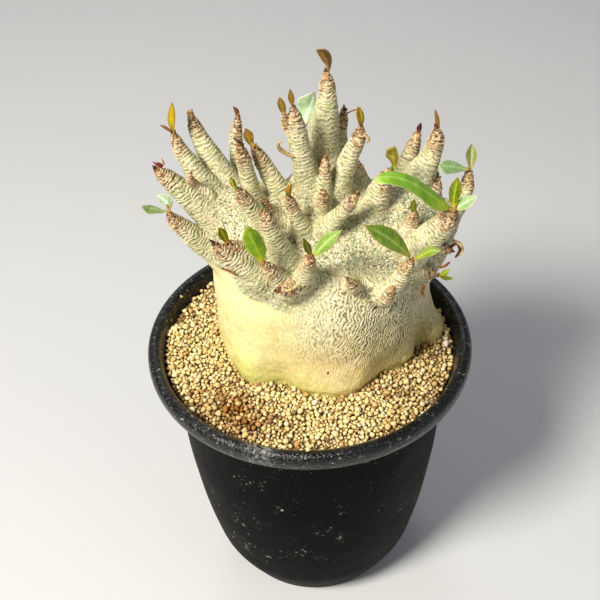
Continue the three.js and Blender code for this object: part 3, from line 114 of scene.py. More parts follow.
    "shoot_b5": [(-40.61,44,210.88,1.81), (-38.86,41.31,208.81,2.94), (-36.25,37.42,205.89,3.84), (-32.29,32.41,202.62,5.17), (-27.04,26,198.69,6.71), (-20.55,22.76,195.32,6.37)],
    "shoot_b6": [(40.04,57,189.79,1.91), (38.25,52.66,188.82,2.84), (35.9,47.06,187.65,3.76), (33.05,40.69,186.56,4.9), (28.67,32,185.62,6.45), (23.68,25.91,184.19,6.12)],
    "shoot_b7": [(57.86,38,211.91,1.79), (56.35,35.71,209.77,2.91), (53.87,32.35,206.78,3.8), (49.96,28.01,203.47,5.13), (44.15,22,199.3,6.66), (37.53,19.36,195.66,6.33)],
    "shoot_b8": [(46.62,46,199.64,1.85), (44.99,42.97,197.88,2.76), (42.84,39.05,195.67,3.67), (39.69,34.07,193.18,4.8), (35.57,28,190.45,6.36), (29.47,23.41,188.05,6.04)],
}
# Leaves: kind, then midrib, left edge and right edge from stalk to tip, in millimetres.
LEAVES = {
    "leaf_01": ("green",
        [(-54.36,-10,222.89), (-55.85,-10.38,222.97), (-57.32,-10.75,223.18), (-58.73,-11.12,223.75), (-60.12,-11.5,224.46), (-61.53,-11.88,225.06), (-62.91,-12.25,225.69), (-64.17,-12.62,226.66), (-65.37,-13,227.77)],
        [(-54.27,-10.64,222.95), (-55.73,-11.25,223.05), (-57.22,-12,223.3), (-58.71,-13.15,223.98), (-60.08,-14.38,224.79), (-61.43,-15.57,225.48), (-62.99,-16.38,226.23), (-64.38,-15.3,227.08), (-65.4,-13.32,227.83)],
        [(-54.44,-9.5,222.83), (-55.98,-9.46,222.85), (-57.43,-9.37,223.01), (-58.77,-9.04,223.47), (-60.17,-8.76,224.1), (-61.62,-8.75,224.66), (-62.87,-9.12,225.24), (-64.03,-10.61,226.31), (-65.34,-12.67,227.71)]),
    "leaf_02": ("pale",
        [(-55.07,-9,222.7), (-55.28,-8.25,223.42), (-55.55,-7.5,224.1), (-56.08,-6.75,224.63), (-56.83,-6,225.04), (-57.67,-5.25,225.34), (-58.58,-4.5,225.51), (-59.57,-3.75,225.58), (-60.56,-3,225.65)],
        [(-55.54,-8.56,222.29), (-56.55,-7.07,222.28), (-57.48,-5.65,222.02), (-58.15,-4.59,221.67), (-58.73,-3.81,221.75), (-59.26,-3.26,222.18), (-59.68,-2.98,222.99), (-60.15,-2.9,224.16), (-60.68,-2.82,225.35)],
        [(-54.72,-8.64,222.54), (-54.19,-7.11,222.95), (-53.85,-5.66,223.75), (-54.32,-4.58,224.87), (-55.29,-3.81,225.65), (-56.45,-3.26,226.1), (-57.8,-2.98,226.22), (-59.18,-2.92,226), (-60.49,-2.85,225.72)]),
    "leaf_03": ("yellow",
        [(-52.39,12,245.37), (-52.61,12.25,247.02), (-52.76,12.5,248.67), (-52.76,12.75,250.33), (-52.65,13,251.99), (-52.4,13.25,253.63), (-52.12,13.5,255.27), (-51.87,13.75,256.9), (-51.63,14,258.52)],
        [(-52.85,12.39,245.04), (-53.52,13.03,246.39), (-54.07,13.62,247.85), (-54.39,14.14,249.45), (-54.4,14.51,251.19), (-54,14.65,252.99), (-53.4,14.62,254.76), (-52.62,14.41,256.59), (-51.76,14.12,258.46)],
        [(-51.92,11.47,245.78), (-51.67,11.21,247.81), (-51.41,11.01,249.71), (-51.09,10.89,251.48), (-50.86,10.99,253.09), (-50.75,11.39,254.55), (-50.8,12.01,256), (-51.09,12.87,257.33), (-51.49,13.84,258.6)]),
    "leaf_04": ("brown",
        [(-53.33,12,246.12), (-53.79,12.12,246.52), (-54.25,12.25,246.94), (-54.72,12.38,247.35), (-55.21,12.5,247.72), (-55.74,12.62,248.04), (-56.29,12.75,248.31), (-56.86,12.88,248.56), (-57.43,13,248.82)],
        [(-53.63,12.3,245.62), (-54.16,12.48,245.93), (-54.7,12.68,246.23), (-55.21,12.86,246.52), (-55.69,13.01,246.83), (-56.14,13.09,247.2), (-56.59,13.12,247.63), (-57.06,13.12,248.11), (-57.53,13.13,248.58)],
        [(-53.1,12.3,246.25), (-53.53,12.48,246.69), (-53.94,12.68,247.14), (-54.38,12.86,247.58), (-54.89,13.01,248), (-55.47,13.09,248.32), (-56.1,13.12,248.55), (-56.74,13.12,248.72), (-57.36,13.13,248.91)]),
    "leaf_05": ("brown",
        [(-26.78,30,241.06), (-26.87,30.12,241.71), (-26.93,30.25,242.37), (-27.02,30.38,243.01), (-27.19,30.5,243.62), (-27.46,30.62,244.18), (-27.8,30.75,244.71), (-28.18,30.88,245.22), (-28.54,31,245.73)],
        [(-27.23,30.35,240.78), (-27.48,30.61,241.33), (-27.74,30.89,241.87), (-27.98,31.13,242.33), (-28.16,31.3,242.75), (-28.29,31.35,243.25), (-28.42,31.32,243.92), (-28.59,31.26,244.69), (-28.77,31.21,245.45)],
        [(-26.39,30.35,240.93), (-26.31,30.61,241.52), (-26.2,30.89,242.13), (-26.17,31.13,242.82), (-26.32,31.3,243.57), (-26.73,31.35,244.28), (-27.26,31.32,244.84), (-27.82,31.26,245.31), (-28.35,31.21,245.78)]),
    "leaf_06": ("brown",
        [(-20.18,6,241.3), (-20.59,6.25,242.23), (-20.99,6.5,243.15), (-21.37,6.75,244.09), (-21.69,7,245.05), (-21.99,7.25,246.02), (-22.28,7.5,246.98), (-22.56,7.75,247.95), (-22.83,8,248.92)],
        [(-20.57,6.43,240.83), (-21.43,7.18,241.22), (-22.3,7.92,241.65), (-23.02,8.53,242.3), (-23.62,9.04,243.08), (-24.01,9.38,244.01), (-24.01,9.32,245.29), (-23.56,8.81,246.98), (-23.04,8.22,248.72)],
        [(-19.8,5.79,241.63), (-19.77,5.81,242.92), (-19.74,5.82,244.18), (-19.77,5.9,245.31), (-19.8,6,246.39), (-19.98,6.19,247.39), (-20.54,6.59,248.14), (-21.55,7.22,248.62), (-22.63,7.9,249.05)]),
    "leaf_07": ("yellow",
        [(-27.01,-16,235.78), (-27.22,-16.25,236.72), (-27.43,-16.5,237.65), (-27.64,-16.75,238.58), (-27.84,-17,239.51), (-28.01,-17.25,240.45), (-28.17,-17.5,241.39), (-28.3,-17.75,242.34), (-28.44,-18,243.28)],
        [(-27.37,-15.73,235.44), (-27.76,-15.84,236.2), (-28.19,-15.92,236.91), (-28.61,-16.02,237.66), (-28.93,-16.18,238.51), (-29.08,-16.45,239.51), (-29.02,-16.87,240.68), (-28.83,-17.36,241.9), (-28.64,-17.85,243.11)],
        [(-26.7,-15.73,235.76), (-26.74,-15.84,236.69), (-26.76,-15.92,237.61), (-26.78,-16.02,238.51), (-26.87,-16.18,239.41), (-27.07,-16.45,240.31), (-27.41,-16.87,241.25), (-27.84,-17.36,242.24), (-28.26,-17.85,243.24)]),
    "leaf_08": ("brown",
        [(-6.21,-17,232.19), (-6.35,-17.12,233.11), (-6.49,-17.25,234.03), (-6.52,-17.38,234.93), (-6.34,-17.5,235.79), (-6.04,-17.62,236.64), (-5.74,-17.75,237.47), (-5.43,-17.88,238.29), (-5.13,-18,239.1)],
        [(-6.6,-16.71,231.89), (-7.08,-16.57,232.54), (-7.58,-16.43,233.28), (-7.84,-16.39,234.41), (-7.58,-16.51,235.66), (-7.09,-16.75,236.64), (-6.56,-17.06,237.48), (-5.92,-17.46,238.3), (-5.26,-17.88,239.11)],
        [(-5.83,-16.67,232.05), (-5.68,-16.54,232.88), (-5.51,-16.41,233.6), (-5.37,-16.38,234.1), (-5.31,-16.55,234.67), (-5.22,-16.84,235.62), (-5.12,-17.16,236.69), (-5.05,-17.51,237.81), (-4.99,-17.87,238.93)]),
    "leaf_09": ("yellow",
        [(-3.69,-4,265.34), (-3.77,-4.12,266.28), (-3.84,-4.25,267.22), (-3.92,-4.38,268.16), (-4.01,-4.5,269.09), (-4.11,-4.62,270.02), (-4.2,-4.75,270.95), (-4.28,-4.88,271.87), (-4.36,-5,272.79)],
        [(-4.07,-3.67,265.11), (-4.42,-3.55,265.88), (-4.78,-3.43,266.65), (-5.04,-3.39,267.46), (-5.14,-3.5,268.37), (-5.13,-3.72,269.37), (-5.02,-4.02,270.43), (-4.79,-4.43,271.56), (-4.51,-4.87,272.7)],
        [(-3.32,-4.4,265.61), (-3.12,-4.82,266.75), (-2.91,-5.24,267.89), (-2.81,-5.56,268.97), (-2.89,-5.7,269.92), (-3.1,-5.71,270.77), (-3.39,-5.62,271.54), (-3.78,-5.41,272.23), (-4.21,-5.16,272.9)]),
    "leaf_10": ("yellow",
        [(-6.82,-5,261.93), (-7.01,-5.12,262.98), (-7.2,-5.25,264.01), (-7.4,-5.38,265.05), (-7.62,-5.5,266.07), (-7.87,-5.62,267.08), (-8.1,-5.75,268.09), (-8.26,-5.88,269.12), (-8.39,-6,270.14)],
        [(-7.19,-4.74,261.68), (-7.74,-4.61,262.49), (-8.29,-4.48,263.27), (-8.76,-4.41,264.09), (-9.07,-4.47,265), (-9.3,-4.6,266.02), (-9.35,-4.87,267.25), (-9.05,-5.32,268.64), (-8.58,-5.87,270.04)],
        [(-6.44,-5.28,262.19), (-6.3,-5.65,263.46), (-6.16,-6.03,264.74), (-6.11,-6.34,265.98), (-6.26,-6.53,267.11), (-6.54,-6.64,268.1), (-6.93,-6.62,268.9), (-7.52,-6.42,269.58), (-8.2,-6.14,270.26)]),
    "leaf_11": ("maroon",
        [(10.83,14,269.25), (10.81,13.38,271.04), (10.69,12.75,272.8), (10.42,12.12,274.56), (9.91,11.5,276.21), (9.15,10.88,277.73), (8.25,10.25,279.09), (7.18,9.62,280.25), (6.08,9,281.36)],
        [(10.39,14.71,268.88), (10.24,14.3,270.54), (9.89,14.06,272.01), (9.17,14.25,273.06), (8.51,14.1,274.02), (7.93,13.47,275.27), (7.39,12.43,276.83), (6.75,10.92,278.85), (5.99,9.3,281.04)],
        [(11.33,14.74,268.84), (11.76,14.78,270.3), (12.13,14.9,271.83), (12.43,15.22,273.5), (12.17,15.28,275.43), (11.34,15.03,277.33), (9.89,13.95,279.07), (8,11.77,280.34), (6.22,9.37,281.38)]),
    "leaf_12": ("yellow",
        [(22.54,-2,253.32), (22.61,-1.75,254.35), (22.67,-1.5,255.37), (22.69,-1.25,256.39), (22.63,-1,257.4), (22.51,-0.75,258.42), (22.3,-0.5,259.41), (21.95,-0.25,260.36), (21.55,0,261.29)],
        [(22.12,-2.38,253.59), (21.79,-2.48,254.87), (21.45,-2.6,256.12), (21.16,-2.63,257.22), (20.91,-2.55,258.22), (20.71,-2.4,259.13), (20.73,-1.98,259.84), (21.01,-1.17,260.53), (21.32,-0.23,261.33)],
        [(22.96,-1.71,253.1), (23.37,-1.21,253.94), (23.79,-0.7,254.8), (24.06,-0.27,255.79), (24.08,0.04,256.88), (23.91,0.27,258.02), (23.46,0.37,259.23), (22.66,0.3,260.32), (21.78,0.18,261.28)]),
    "leaf_13": ("maroon",
        [(35.5,-6,235.73), (35.6,-6.38,237.33), (35.7,-6.75,238.91), (35.68,-7.12,240.5), (35.56,-7.5,242.1), (35.34,-7.88,243.68), (34.98,-8.25,245.22), (34.48,-8.62,246.71), (33.96,-9,248.19)],
        [(35.05,-5.46,235.5), (34.9,-5.54,236.96), (34.72,-5.59,238.35), (34.28,-5.47,239.52), (33.4,-4.94,240.33), (32.56,-4.51,240.97), (32.31,-4.87,242.01), (32.46,-5.95,243.97), (32.57,-7.15,246.28)],
        [(35.97,-6.42,235.89), (36.39,-7.09,237.6), (36.8,-7.75,239.36), (37.02,-8.35,241.2), (37.05,-8.87,243.06), (36.89,-9.34,244.93), (36.51,-9.76,246.76), (35.93,-10.12,248.38), (35.37,-10.47,249.84)]),
    "leaf_14": ("red",
        [(48.79,22,234.54), (48.86,22.12,235.15), (48.93,22.25,235.75), (49,22.38,236.35), (49.11,22.5,236.95), (49.25,22.62,237.52), (49.43,22.75,238.09), (49.62,22.88,238.65), (49.8,23,239.21)],
        [(48.41,22.31,234.44), (48.31,22.57,235), (48.18,22.86,235.55), (48.09,23.12,236.15), (48.14,23.3,236.8), (48.37,23.37,237.46), (48.75,23.33,238.07), (49.18,23.25,238.65), (49.59,23.18,239.21)],
        [(49.25,22.31,234.26), (49.54,22.57,234.74), (49.85,22.86,235.2), (50.13,23.12,235.65), (50.31,23.3,236.11), (50.35,23.37,236.69), (50.28,23.33,237.4), (50.17,23.25,238.2), (50.07,23.18,238.99)]),
    "leaf_15": ("yellow",
        [(55.72,14,241.27), (55.61,14.12,242.38), (55.5,14.25,243.5), (55.36,14.38,244.6), (55.16,14.5,245.7), (54.91,14.62,246.78), (54.64,14.75,247.86), (54.35,14.88,248.93), (54.05,15,249.99)],
        [(55.39,14.5,240.95), (55.17,14.8,241.96), (54.95,15.1,242.95), (54.73,15.35,243.94), (54.52,15.51,244.96), (54.31,15.59,246.05), (54.13,15.56,247.23), (54.02,15.4,248.52), (53.93,15.2,249.84)],
        [(56.04,13.5,241.58), (56.04,13.45,242.8), (56.05,13.4,244.04), (55.99,13.4,245.26), (55.79,13.49,246.43), (55.5,13.66,247.51), (55.14,13.94,248.49), (54.67,14.35,249.34), (54.17,14.8,250.15)]),
    "leaf_16": ("blue",
        [(69.61,11,223.04), (67.74,10,224.08), (65.88,9,225.1), (64.03,8,226.12), (62.19,7,227.11), (60.37,6,228.04), (58.55,5,228.92), (56.74,4,229.77), (54.95,3,230.6)],
        [(69.5,10.59,222.87), (67.5,9.05,223.69), (65.51,7.5,224.49), (63.53,5.86,225.25), (61.61,4.28,226), (59.78,2.89,226.78), (57.99,1.68,227.58), (56.39,1.72,228.85), (54.91,2.77,230.51)],
        [(69.78,11.73,223), (68.1,11.59,223.99), (66.44,11.49,224.96), (64.83,11.65,225.91), (63.16,11.71,226.84), (61.34,11.22,227.76), (59.46,10.27,228.63), (57.33,7.55,229.57), (55.01,3.4,230.58)]),
    "leaf_17": ("pale",
        [(70.43,12,222.65), (70.4,12.38,224.01), (70.37,12.75,225.38), (70.36,13.12,226.73), (70.37,13.5,228.08), (70.39,13.88,229.42), (70.39,14.25,230.77), (70.38,14.62,232.1), (70.37,15,233.44)],
        [(69.93,11.66,222.91), (69.04,11.43,224.73), (68.18,11.22,226.53), (67.65,11.22,228.19), (67.38,11.4,229.71), (67.45,11.81,231), (68.02,12.59,232.01), (69.05,13.69,232.79), (70.12,14.83,233.56)],
        [(70.76,11.58,222.9), (71.32,11.23,224.69), (71.85,10.91,226.45), (72.2,10.82,228.03), (72.43,10.91,229.5), (72.44,11.3,230.84), (72.04,12.17,231.92), (71.3,13.46,232.75), (70.53,14.79,233.55)]),
    "leaf_18": ("dark",
        [(56.89,-22,226.8), (52.84,-23.75,231.21), (48.95,-25.5,235.73), (45.07,-27.25,240.05), (41.1,-29,243.97), (37,-30.75,247.34), (32.76,-32.5,249.93), (28.58,-34.25,251.25), (24.75,-36,250.61)],
        [(56.45,-22.88,226.9), (50.14,-29.17,231.92), (45.84,-31.88,236.58), (42.5,-33.01,240.67), (39.17,-34.04,244.32), (35.57,-35.56,247.47), (31.96,-37.34,249.89), (28.73,-38.23,251.24), (24.81,-36.38,250.62)],
        [(57.33,-20.94,226.49), (54.15,-20.56,230.29), (50.73,-21.07,234.46), (46.96,-22.15,238.7), (42.86,-23.51,242.68), (38.51,-24.77,246.13), (33.66,-26.65,248.91), (28.58,-29.9,250.46), (24.7,-35.47,250.49)]),
    "leaf_19": ("yellow",
        [(57.84,-22,227.23), (57.96,-21.5,228.75), (58.07,-21,230.27), (58.21,-20.5,231.77), (58.39,-20,233.27), (58.59,-19.5,234.75), (58.81,-19,236.22), (59.05,-18.5,237.68), (59.3,-18,239.13)],
        [(57.46,-21.72,227.1), (57.02,-20.81,228.43), (56.57,-19.9,229.78), (56.33,-19.11,231.22), (56.27,-18.44,232.7), (56.44,-17.92,234.23), (57.03,-17.68,235.83), (58.05,-17.75,237.47), (59.13,-17.87,239.09)],
        [(58.21,-22.37,227.43), (58.85,-22.42,229.24), (59.49,-22.47,231.02), (59.99,-22.35,232.66), (60.38,-22.08,234.2), (60.6,-21.61,235.64), (60.48,-20.76,236.92), (60,-19.5,238.05), (59.46,-18.17,239.19)]),
    "leaf_20": ("pale",
        [(58.87,-22,226.61), (59.7,-22.5,227.82), (60.53,-23,229.03), (61.37,-23.5,230.19), (62.25,-24,231.28), (63.14,-24.5,232.34), (64.01,-25,233.42), (64.86,-25.5,234.52), (65.71,-26,235.62)],
        [(58.69,-21.58,226.7), (59.16,-21.25,228.11), (59.67,-20.93,229.54), (60.4,-20.95,230.88), (61.33,-21.37,232.04), (62.3,-22.08,233.03), (63.32,-23.08,233.95), (64.47,-24.41,234.81), (65.63,-25.79,235.67)],
        [(59.03,-22.54,226.6), (60.14,-24.02,227.8), (61.21,-25.49,228.97), (62.12,-26.55,230.06), (62.95,-27.14,231.1), (63.78,-27.39,232.18), (64.54,-27.29,233.31), (65.17,-26.8,234.46), (65.77,-26.27,235.61)]),
    "leaf_21": ("yellow",
        [(43.26,-16,220.66), (43.19,-16,221.62), (43.12,-16,222.58), (43.05,-16,223.53), (43,-16,224.48), (42.98,-16,225.43), (42.99,-16,226.37), (43.02,-16,227.3), (43.03,-16,228.24)],
        [(42.9,-15.71,220.45), (42.58,-15.51,221.26), (42.21,-15.28,222.06), (41.89,-15.08,222.9), (41.73,-14.99,223.85), (41.81,-15.07,224.9), (42.11,-15.29,226), (42.5,-15.58,227.09), (42.86,-15.86,228.17)],
        [(43.62,-16.29,220.86), (43.8,-16.49,221.97), (44.02,-16.72,223.1), (44.2,-16.92,224.17), (44.26,-17.01,225.12), (44.15,-16.93,225.96), (43.88,-16.71,226.74), (43.54,-16.42,227.52), (43.21,-16.14,228.31)]),
    "leaf_22": ("dark",
        [(40.07,-34,213.33), (37.89,-35.25,216.87), (35.68,-36.5,220.28), (33.4,-37.75,223.48), (31.06,-39,226.52), (28.69,-40.25,229.39), (26.27,-41.5,232.08), (23.8,-42.75,234.53), (21.33,-44,236.89)],
        [(39.71,-34.27,213.14), (36.73,-36.14,216.21), (33.94,-37.93,219.11), (31.32,-39.6,221.84), (28.94,-41.03,224.59), (26.8,-42.22,227.42), (24.88,-43.13,230.34), (23.09,-43.68,233.5), (21.25,-44.11,236.77)],
        [(40.45,-33.52,213.36), (39.23,-33.54,216.98), (37.75,-33.7,220.58), (35.91,-34.07,224.06), (33.63,-34.95,227.29), (30.91,-36.43,230.25), (27.88,-38.41,232.89), (24.62,-41,235.03), (21.42,-43.8,236.95)]),
    "leaf_23": ("green",
        [(41.63,-35,212.7), (42.78,-35.38,213.8), (43.93,-35.75,214.88), (45.1,-36.12,215.9), (46.28,-36.5,216.91), (47.48,-36.88,217.81), (48.74,-37.25,218.48), (50.05,-37.62,218.91), (51.37,-38,219.3)],
        [(41.49,-34.6,212.83), (42.51,-34.62,214.04), (43.55,-34.65,215.25), (44.64,-34.7,216.4), (45.75,-34.68,217.57), (47.07,-34.82,218.63), (48.61,-35.46,219.24), (50.06,-36.59,219.36), (51.38,-37.8,219.39)],
        [(41.79,-35.34,212.52), (43.06,-35.98,213.48), (44.3,-36.61,214.42), (45.54,-37.22,215.31), (46.78,-37.88,216.14), (47.89,-38.42,216.89), (48.89,-38.59,217.62), (50.08,-38.41,218.4), (51.38,-38.17,219.19)]),
    "leaf_24": ("green",
        [(55.56,-18,190.08), (56.01,-18.25,190.61), (56.47,-18.5,191.14), (56.91,-18.75,191.68), (57.33,-19,192.26), (57.73,-19.25,192.87), (58.11,-19.5,193.51), (58.49,-19.75,194.16), (58.87,-20,194.79)],
        [(55.42,-17.7,190.28), (55.76,-17.72,190.96), (56.08,-17.72,191.64), (56.39,-17.79,192.27), (56.74,-18.01,192.82), (57.17,-18.38,193.32), (57.68,-18.86,193.83), (58.23,-19.36,194.35), (58.76,-19.83,194.87)],
        [(55.71,-18.3,189.89), (56.27,-18.78,190.26), (56.85,-19.28,190.64), (57.42,-19.71,191.1), (57.92,-19.99,191.7), (58.28,-20.12,192.43), (58.53,-20.14,193.19), (58.74,-20.14,193.96), (58.98,-20.17,194.71)]),
    "leaf_25": ("green",
        [(55.43,-19,190.1), (56.04,-19.38,190.15), (56.64,-19.75,190.21), (57.25,-20.12,190.28), (57.85,-20.5,190.42), (58.46,-20.88,190.62), (59.07,-21.25,190.86), (59.68,-21.62,191.12), (60.29,-22,191.36)],
        [(55.42,-19.39,190.89), (56.03,-19.96,191.35), (56.62,-20.55,191.84), (57.17,-21.09,192.25), (57.7,-21.49,192.47), (58.28,-21.75,192.42), (58.91,-21.9,192.22), (59.58,-22.02,191.95), (60.24,-22.17,191.72)],
        [(55.44,-18.61,189.3), (56.05,-18.79,188.95), (56.67,-18.95,188.56), (57.32,-19.16,188.3), (58,-19.51,188.35), (58.65,-20,188.8), (59.23,-20.6,189.5), (59.78,-21.23,190.28), (60.33,-21.83,191)]),
    "leaf_26": ("green",
        [(2.02,-38,218.61), (3.31,-38.5,220.66), (4.59,-39,222.7), (5.86,-39.5,224.72), (7.12,-40,226.73), (8.42,-40.5,228.65), (9.82,-41,230.39), (11.27,-41.5,232.02), (12.72,-42,233.63)],
        [(1.73,-37.68,218.74), (2.45,-37.55,221.04), (3.21,-37.47,223.3), (4.17,-37.61,225.46), (5.31,-37.92,227.59), (6.8,-38.48,229.62), (8.66,-39.4,231.27), (10.66,-40.61,232.53), (12.6,-41.82,233.73)],
        [(2.32,-38.24,218.42), (4.18,-39.21,220.1), (5.97,-40.14,221.8), (7.57,-40.92,223.61), (8.95,-41.56,225.48), (10.06,-42.02,227.29), (10.99,-42.2,229.21), (11.89,-42.17,231.34), (12.84,-42.13,233.5)]),
    "leaf_27": ("dark",
        [(1.37,-38,218.74), (1,-38,219.86), (0.63,-38,220.97), (0.26,-38,222.08), (-0.1,-38,223.19), (-0.45,-38,224.3), (-0.8,-38,225.4), (-1.14,-38,226.51), (-1.48,-38,227.6)],
        [(1.01,-38.38,218.85), (0.31,-38.72,220.07), (-0.42,-39.1,221.29), (-1.07,-39.39,222.49), (-1.53,-39.5,223.64), (-1.73,-39.34,224.71), (-1.75,-39,225.71), (-1.71,-38.59,226.69), (-1.7,-38.23,227.67)],
        [(1.73,-37.62,218.63), (1.69,-37.28,219.65), (1.68,-36.9,220.65), (1.6,-36.61,221.67), (1.34,-36.5,222.74), (0.84,-36.66,223.89), (0.16,-37,225.1), (-0.57,-37.41,226.32), (-1.27,-37.77,227.54)]),
    "leaf_28": ("green",
        [(-17.64,-36,215), (-18.14,-36.75,217.93), (-18.67,-37.5,220.82), (-19.36,-38.25,223.59), (-20.11,-39,226.3), (-20.77,-39.75,229.02), (-21.39,-40.5,231.74), (-21.91,-41.25,234.47), (-22.37,-42,237.2)],
        [(-18.1,-35.81,214.66), (-19.74,-36.07,216.74), (-21.23,-36.4,218.69), (-22.45,-36.89,220.73), (-23.48,-37.51,223.21), (-24.19,-38.25,226.07), (-24.48,-39.16,229.26), (-23.83,-40.42,233.05), (-22.59,-41.9,237.05)],
        [(-17.2,-35.82,215.03), (-16.38,-36.01,218.1), (-15.88,-36.29,221.31), (-16.15,-36.82,224.43), (-16.76,-37.5,227.16), (-17.42,-38.25,229.75), (-18.33,-39.15,232.24), (-20.01,-40.41,234.68), (-22.16,-41.91,237.22)]),
    "leaf_29": ("dark",
        [(-31.65,-24,216.01), (-31.97,-24.38,217.27), (-32.28,-24.75,218.53), (-32.58,-25.12,219.77), (-32.89,-25.5,221.02), (-33.19,-25.88,222.26), (-33.51,-26.25,223.48), (-33.85,-26.62,224.68), (-34.2,-27,225.87)],
        [(-32.01,-24.5,216.15), (-32.68,-25.37,217.54), (-33.35,-26.27,218.94), (-33.93,-27.04,220.29), (-34.35,-27.58,221.58), (-34.65,-27.98,222.81), (-34.76,-28.09,223.91), (-34.61,-27.76,224.91), (-34.38,-27.27,225.92)],
        [(-31.28,-23.64,215.99), (-31.21,-23.64,217.22), (-31.12,-23.62,218.44), (-31.12,-23.7,219.67), (-31.28,-23.92,220.9), (-31.53,-24.24,222.15), (-32.06,-24.8,223.45), (-32.98,-25.73,224.69), (-34.01,-26.8,225.87)]),
    "leaf_30": ("blue",
        [(1.25,28,236.65), (1.7,28.56,238.43), (2.14,28.93,240.31), (2.65,28.94,242.37), (3.25,28.46,244.66), (3.86,27.45,247.24), (4.4,25.96,250.07), (4.91,24.08,253.11), (5.41,22,256.23)],
        [(0.75,27.57,237.05), (0.29,29.64,238.2), (-0.18,31.16,239.72), (-0.63,31.59,242.04), (-1.41,30.31,245.52), (-1.66,28.06,249.1), (-0.25,26.04,251.79), (2.4,24.13,254.02), (5.09,21.71,256.5)],
        [(1.77,29.09,235.86), (2.82,28.74,238), (3.85,28.51,240.03), (4.72,28.08,242.11), (5.49,27.59,244.25), (6.07,26.96,246.63), (6.2,25.82,249.47), (5.98,24.22,252.64), (5.74,22.73,255.71)]),
    "dry_leaf_01": ("dry",
        [(58.67,-18,204.7), (59.74,-18.25,206), (60.79,-18.5,207.2), (61.67,-18.75,207.27), (62.47,-19,205.94), (62.86,-19.25,204.38), (62.47,-19.5,203.19), (61.59,-19.75,202.08), (60.71,-20,200.96)],
        [(58.43,-17.5,204.82), (59.43,-17.58,206.17), (60.61,-17.67,207.53), (62.35,-17.81,207.45), (63.56,-17.99,205.58), (64.05,-18.25,203.48), (63.39,-18.66,201.93), (62.18,-19.16,201.1), (61.04,-19.67,200.4)],
        [(58.9,-18.5,204.59), (60.05,-18.92,205.84), (60.98,-19.33,206.87), (61,-19.69,207.11), (61.37,-20.01,206.3), (61.67,-20.25,205.29), (61.56,-20.34,204.46), (60.99,-20.34,203.05), (60.37,-20.33,201.51)]),
}
# Dried strips and curls left on the bark: (x, y, z, half width), in millimetres.
DRIED = {
    "strip_a": ("straw", [(-11.3,-37.5,201.4,0.48), (-9.0,-38.5,202.0,0.67), (-6.2,-38.8,203.5,0.71), (-3.2,-39.0,206.0,0.39)]),
    "strip_b": ("rust", [(-34.7,-30.0,208.2,0.32), (-31.5,-30.5,206.9,0.44), (-28.0,-31.0,204.5,0.32)]),
    "curl_a": ("straw", [(-3.6,-6.0,243.6,0.60), (-5.8,-6.3,244.9,0.75), (-7.9,-7.0,246.9,0.94), (-9.5,-8.0,249.6,0.78), (-9.2,-8.5,252.0,0.50), (-8.1,-8.5,252.8,0.19)]),
    "curl_b": ("straw", [(23.5,-3.0,250.7,0.47), (25.0,-4.0,250.4,0.78), (25.7,-4.5,249.1,0.70), (24.8,-4.5,247.7,0.31)]),
    "twig_a": ("rust", [(18.9,22.0,245.7,0.37), (20.3,14.0,251.4,0.28), (21.8,3.0,258.7,0.23)]),
    "twig_b": ("straw", [(21.8,3.0,258.7,0.20), (22.8,0.0,261.1,0.31), (23.4,-2.0,261.6,0.15)]),
    "flake_a": ("orange", [(49.1,-19.0,185.9,0.59), (48.5,-20.0,184.0,0.84), (49.4,-19.5,179.4,0.43)]),
    "flake_b": ("rust", [(35.7,-33.0,197.3,0.61), (33.4,-34.5,196.6,0.89), (31.5,-33.5,192.6,0.65), (30.6,-33.0,190.3,0.24)]),
    "flake_c": ("straw", [(-53.4,-10.5,219.9,0.40), (-51.6,-11.0,217.6,0.75), (-49.6,-10.6,214.6,0.37)]),
    "flake_d": ("dark", [(-27.2,-3.0,251.6,0.35), (-25.5,-4.0,250.6,0.59), (-23.3,-3.0,248.3,0.39)]),
    "flake_e": ("straw", [(59.4,-18.0,208.5,0.65), (62.1,-19.5,207.8,0.57), (63.7,-20.0,205.0,0.49), (62.5,-20.0,201.7,0.33)]),
    "flake_f": ("rust", [(59.4,-17.0,196.2,0.42), (57.2,-18.5,195.4,0.62), (54.8,-18.0,194.3,0.42)]),
}
BULGES = [
    [(57, 6, 128, 6.0), (56, 5, 140, 5.5), (53, 5, 150, 3)],
    [(-5, 47, 128, 7), (-4, 45, 141, 5.5), (-2, 42, 152, 3)],
    [(38, 42, 128, 6.5), (36, 40, 141, 5), (34, 38, 150, 3)],
    [(-33, 30, 128, 6.5), (-31, 28, 142, 5), (-29, 26, 152, 3)],
]
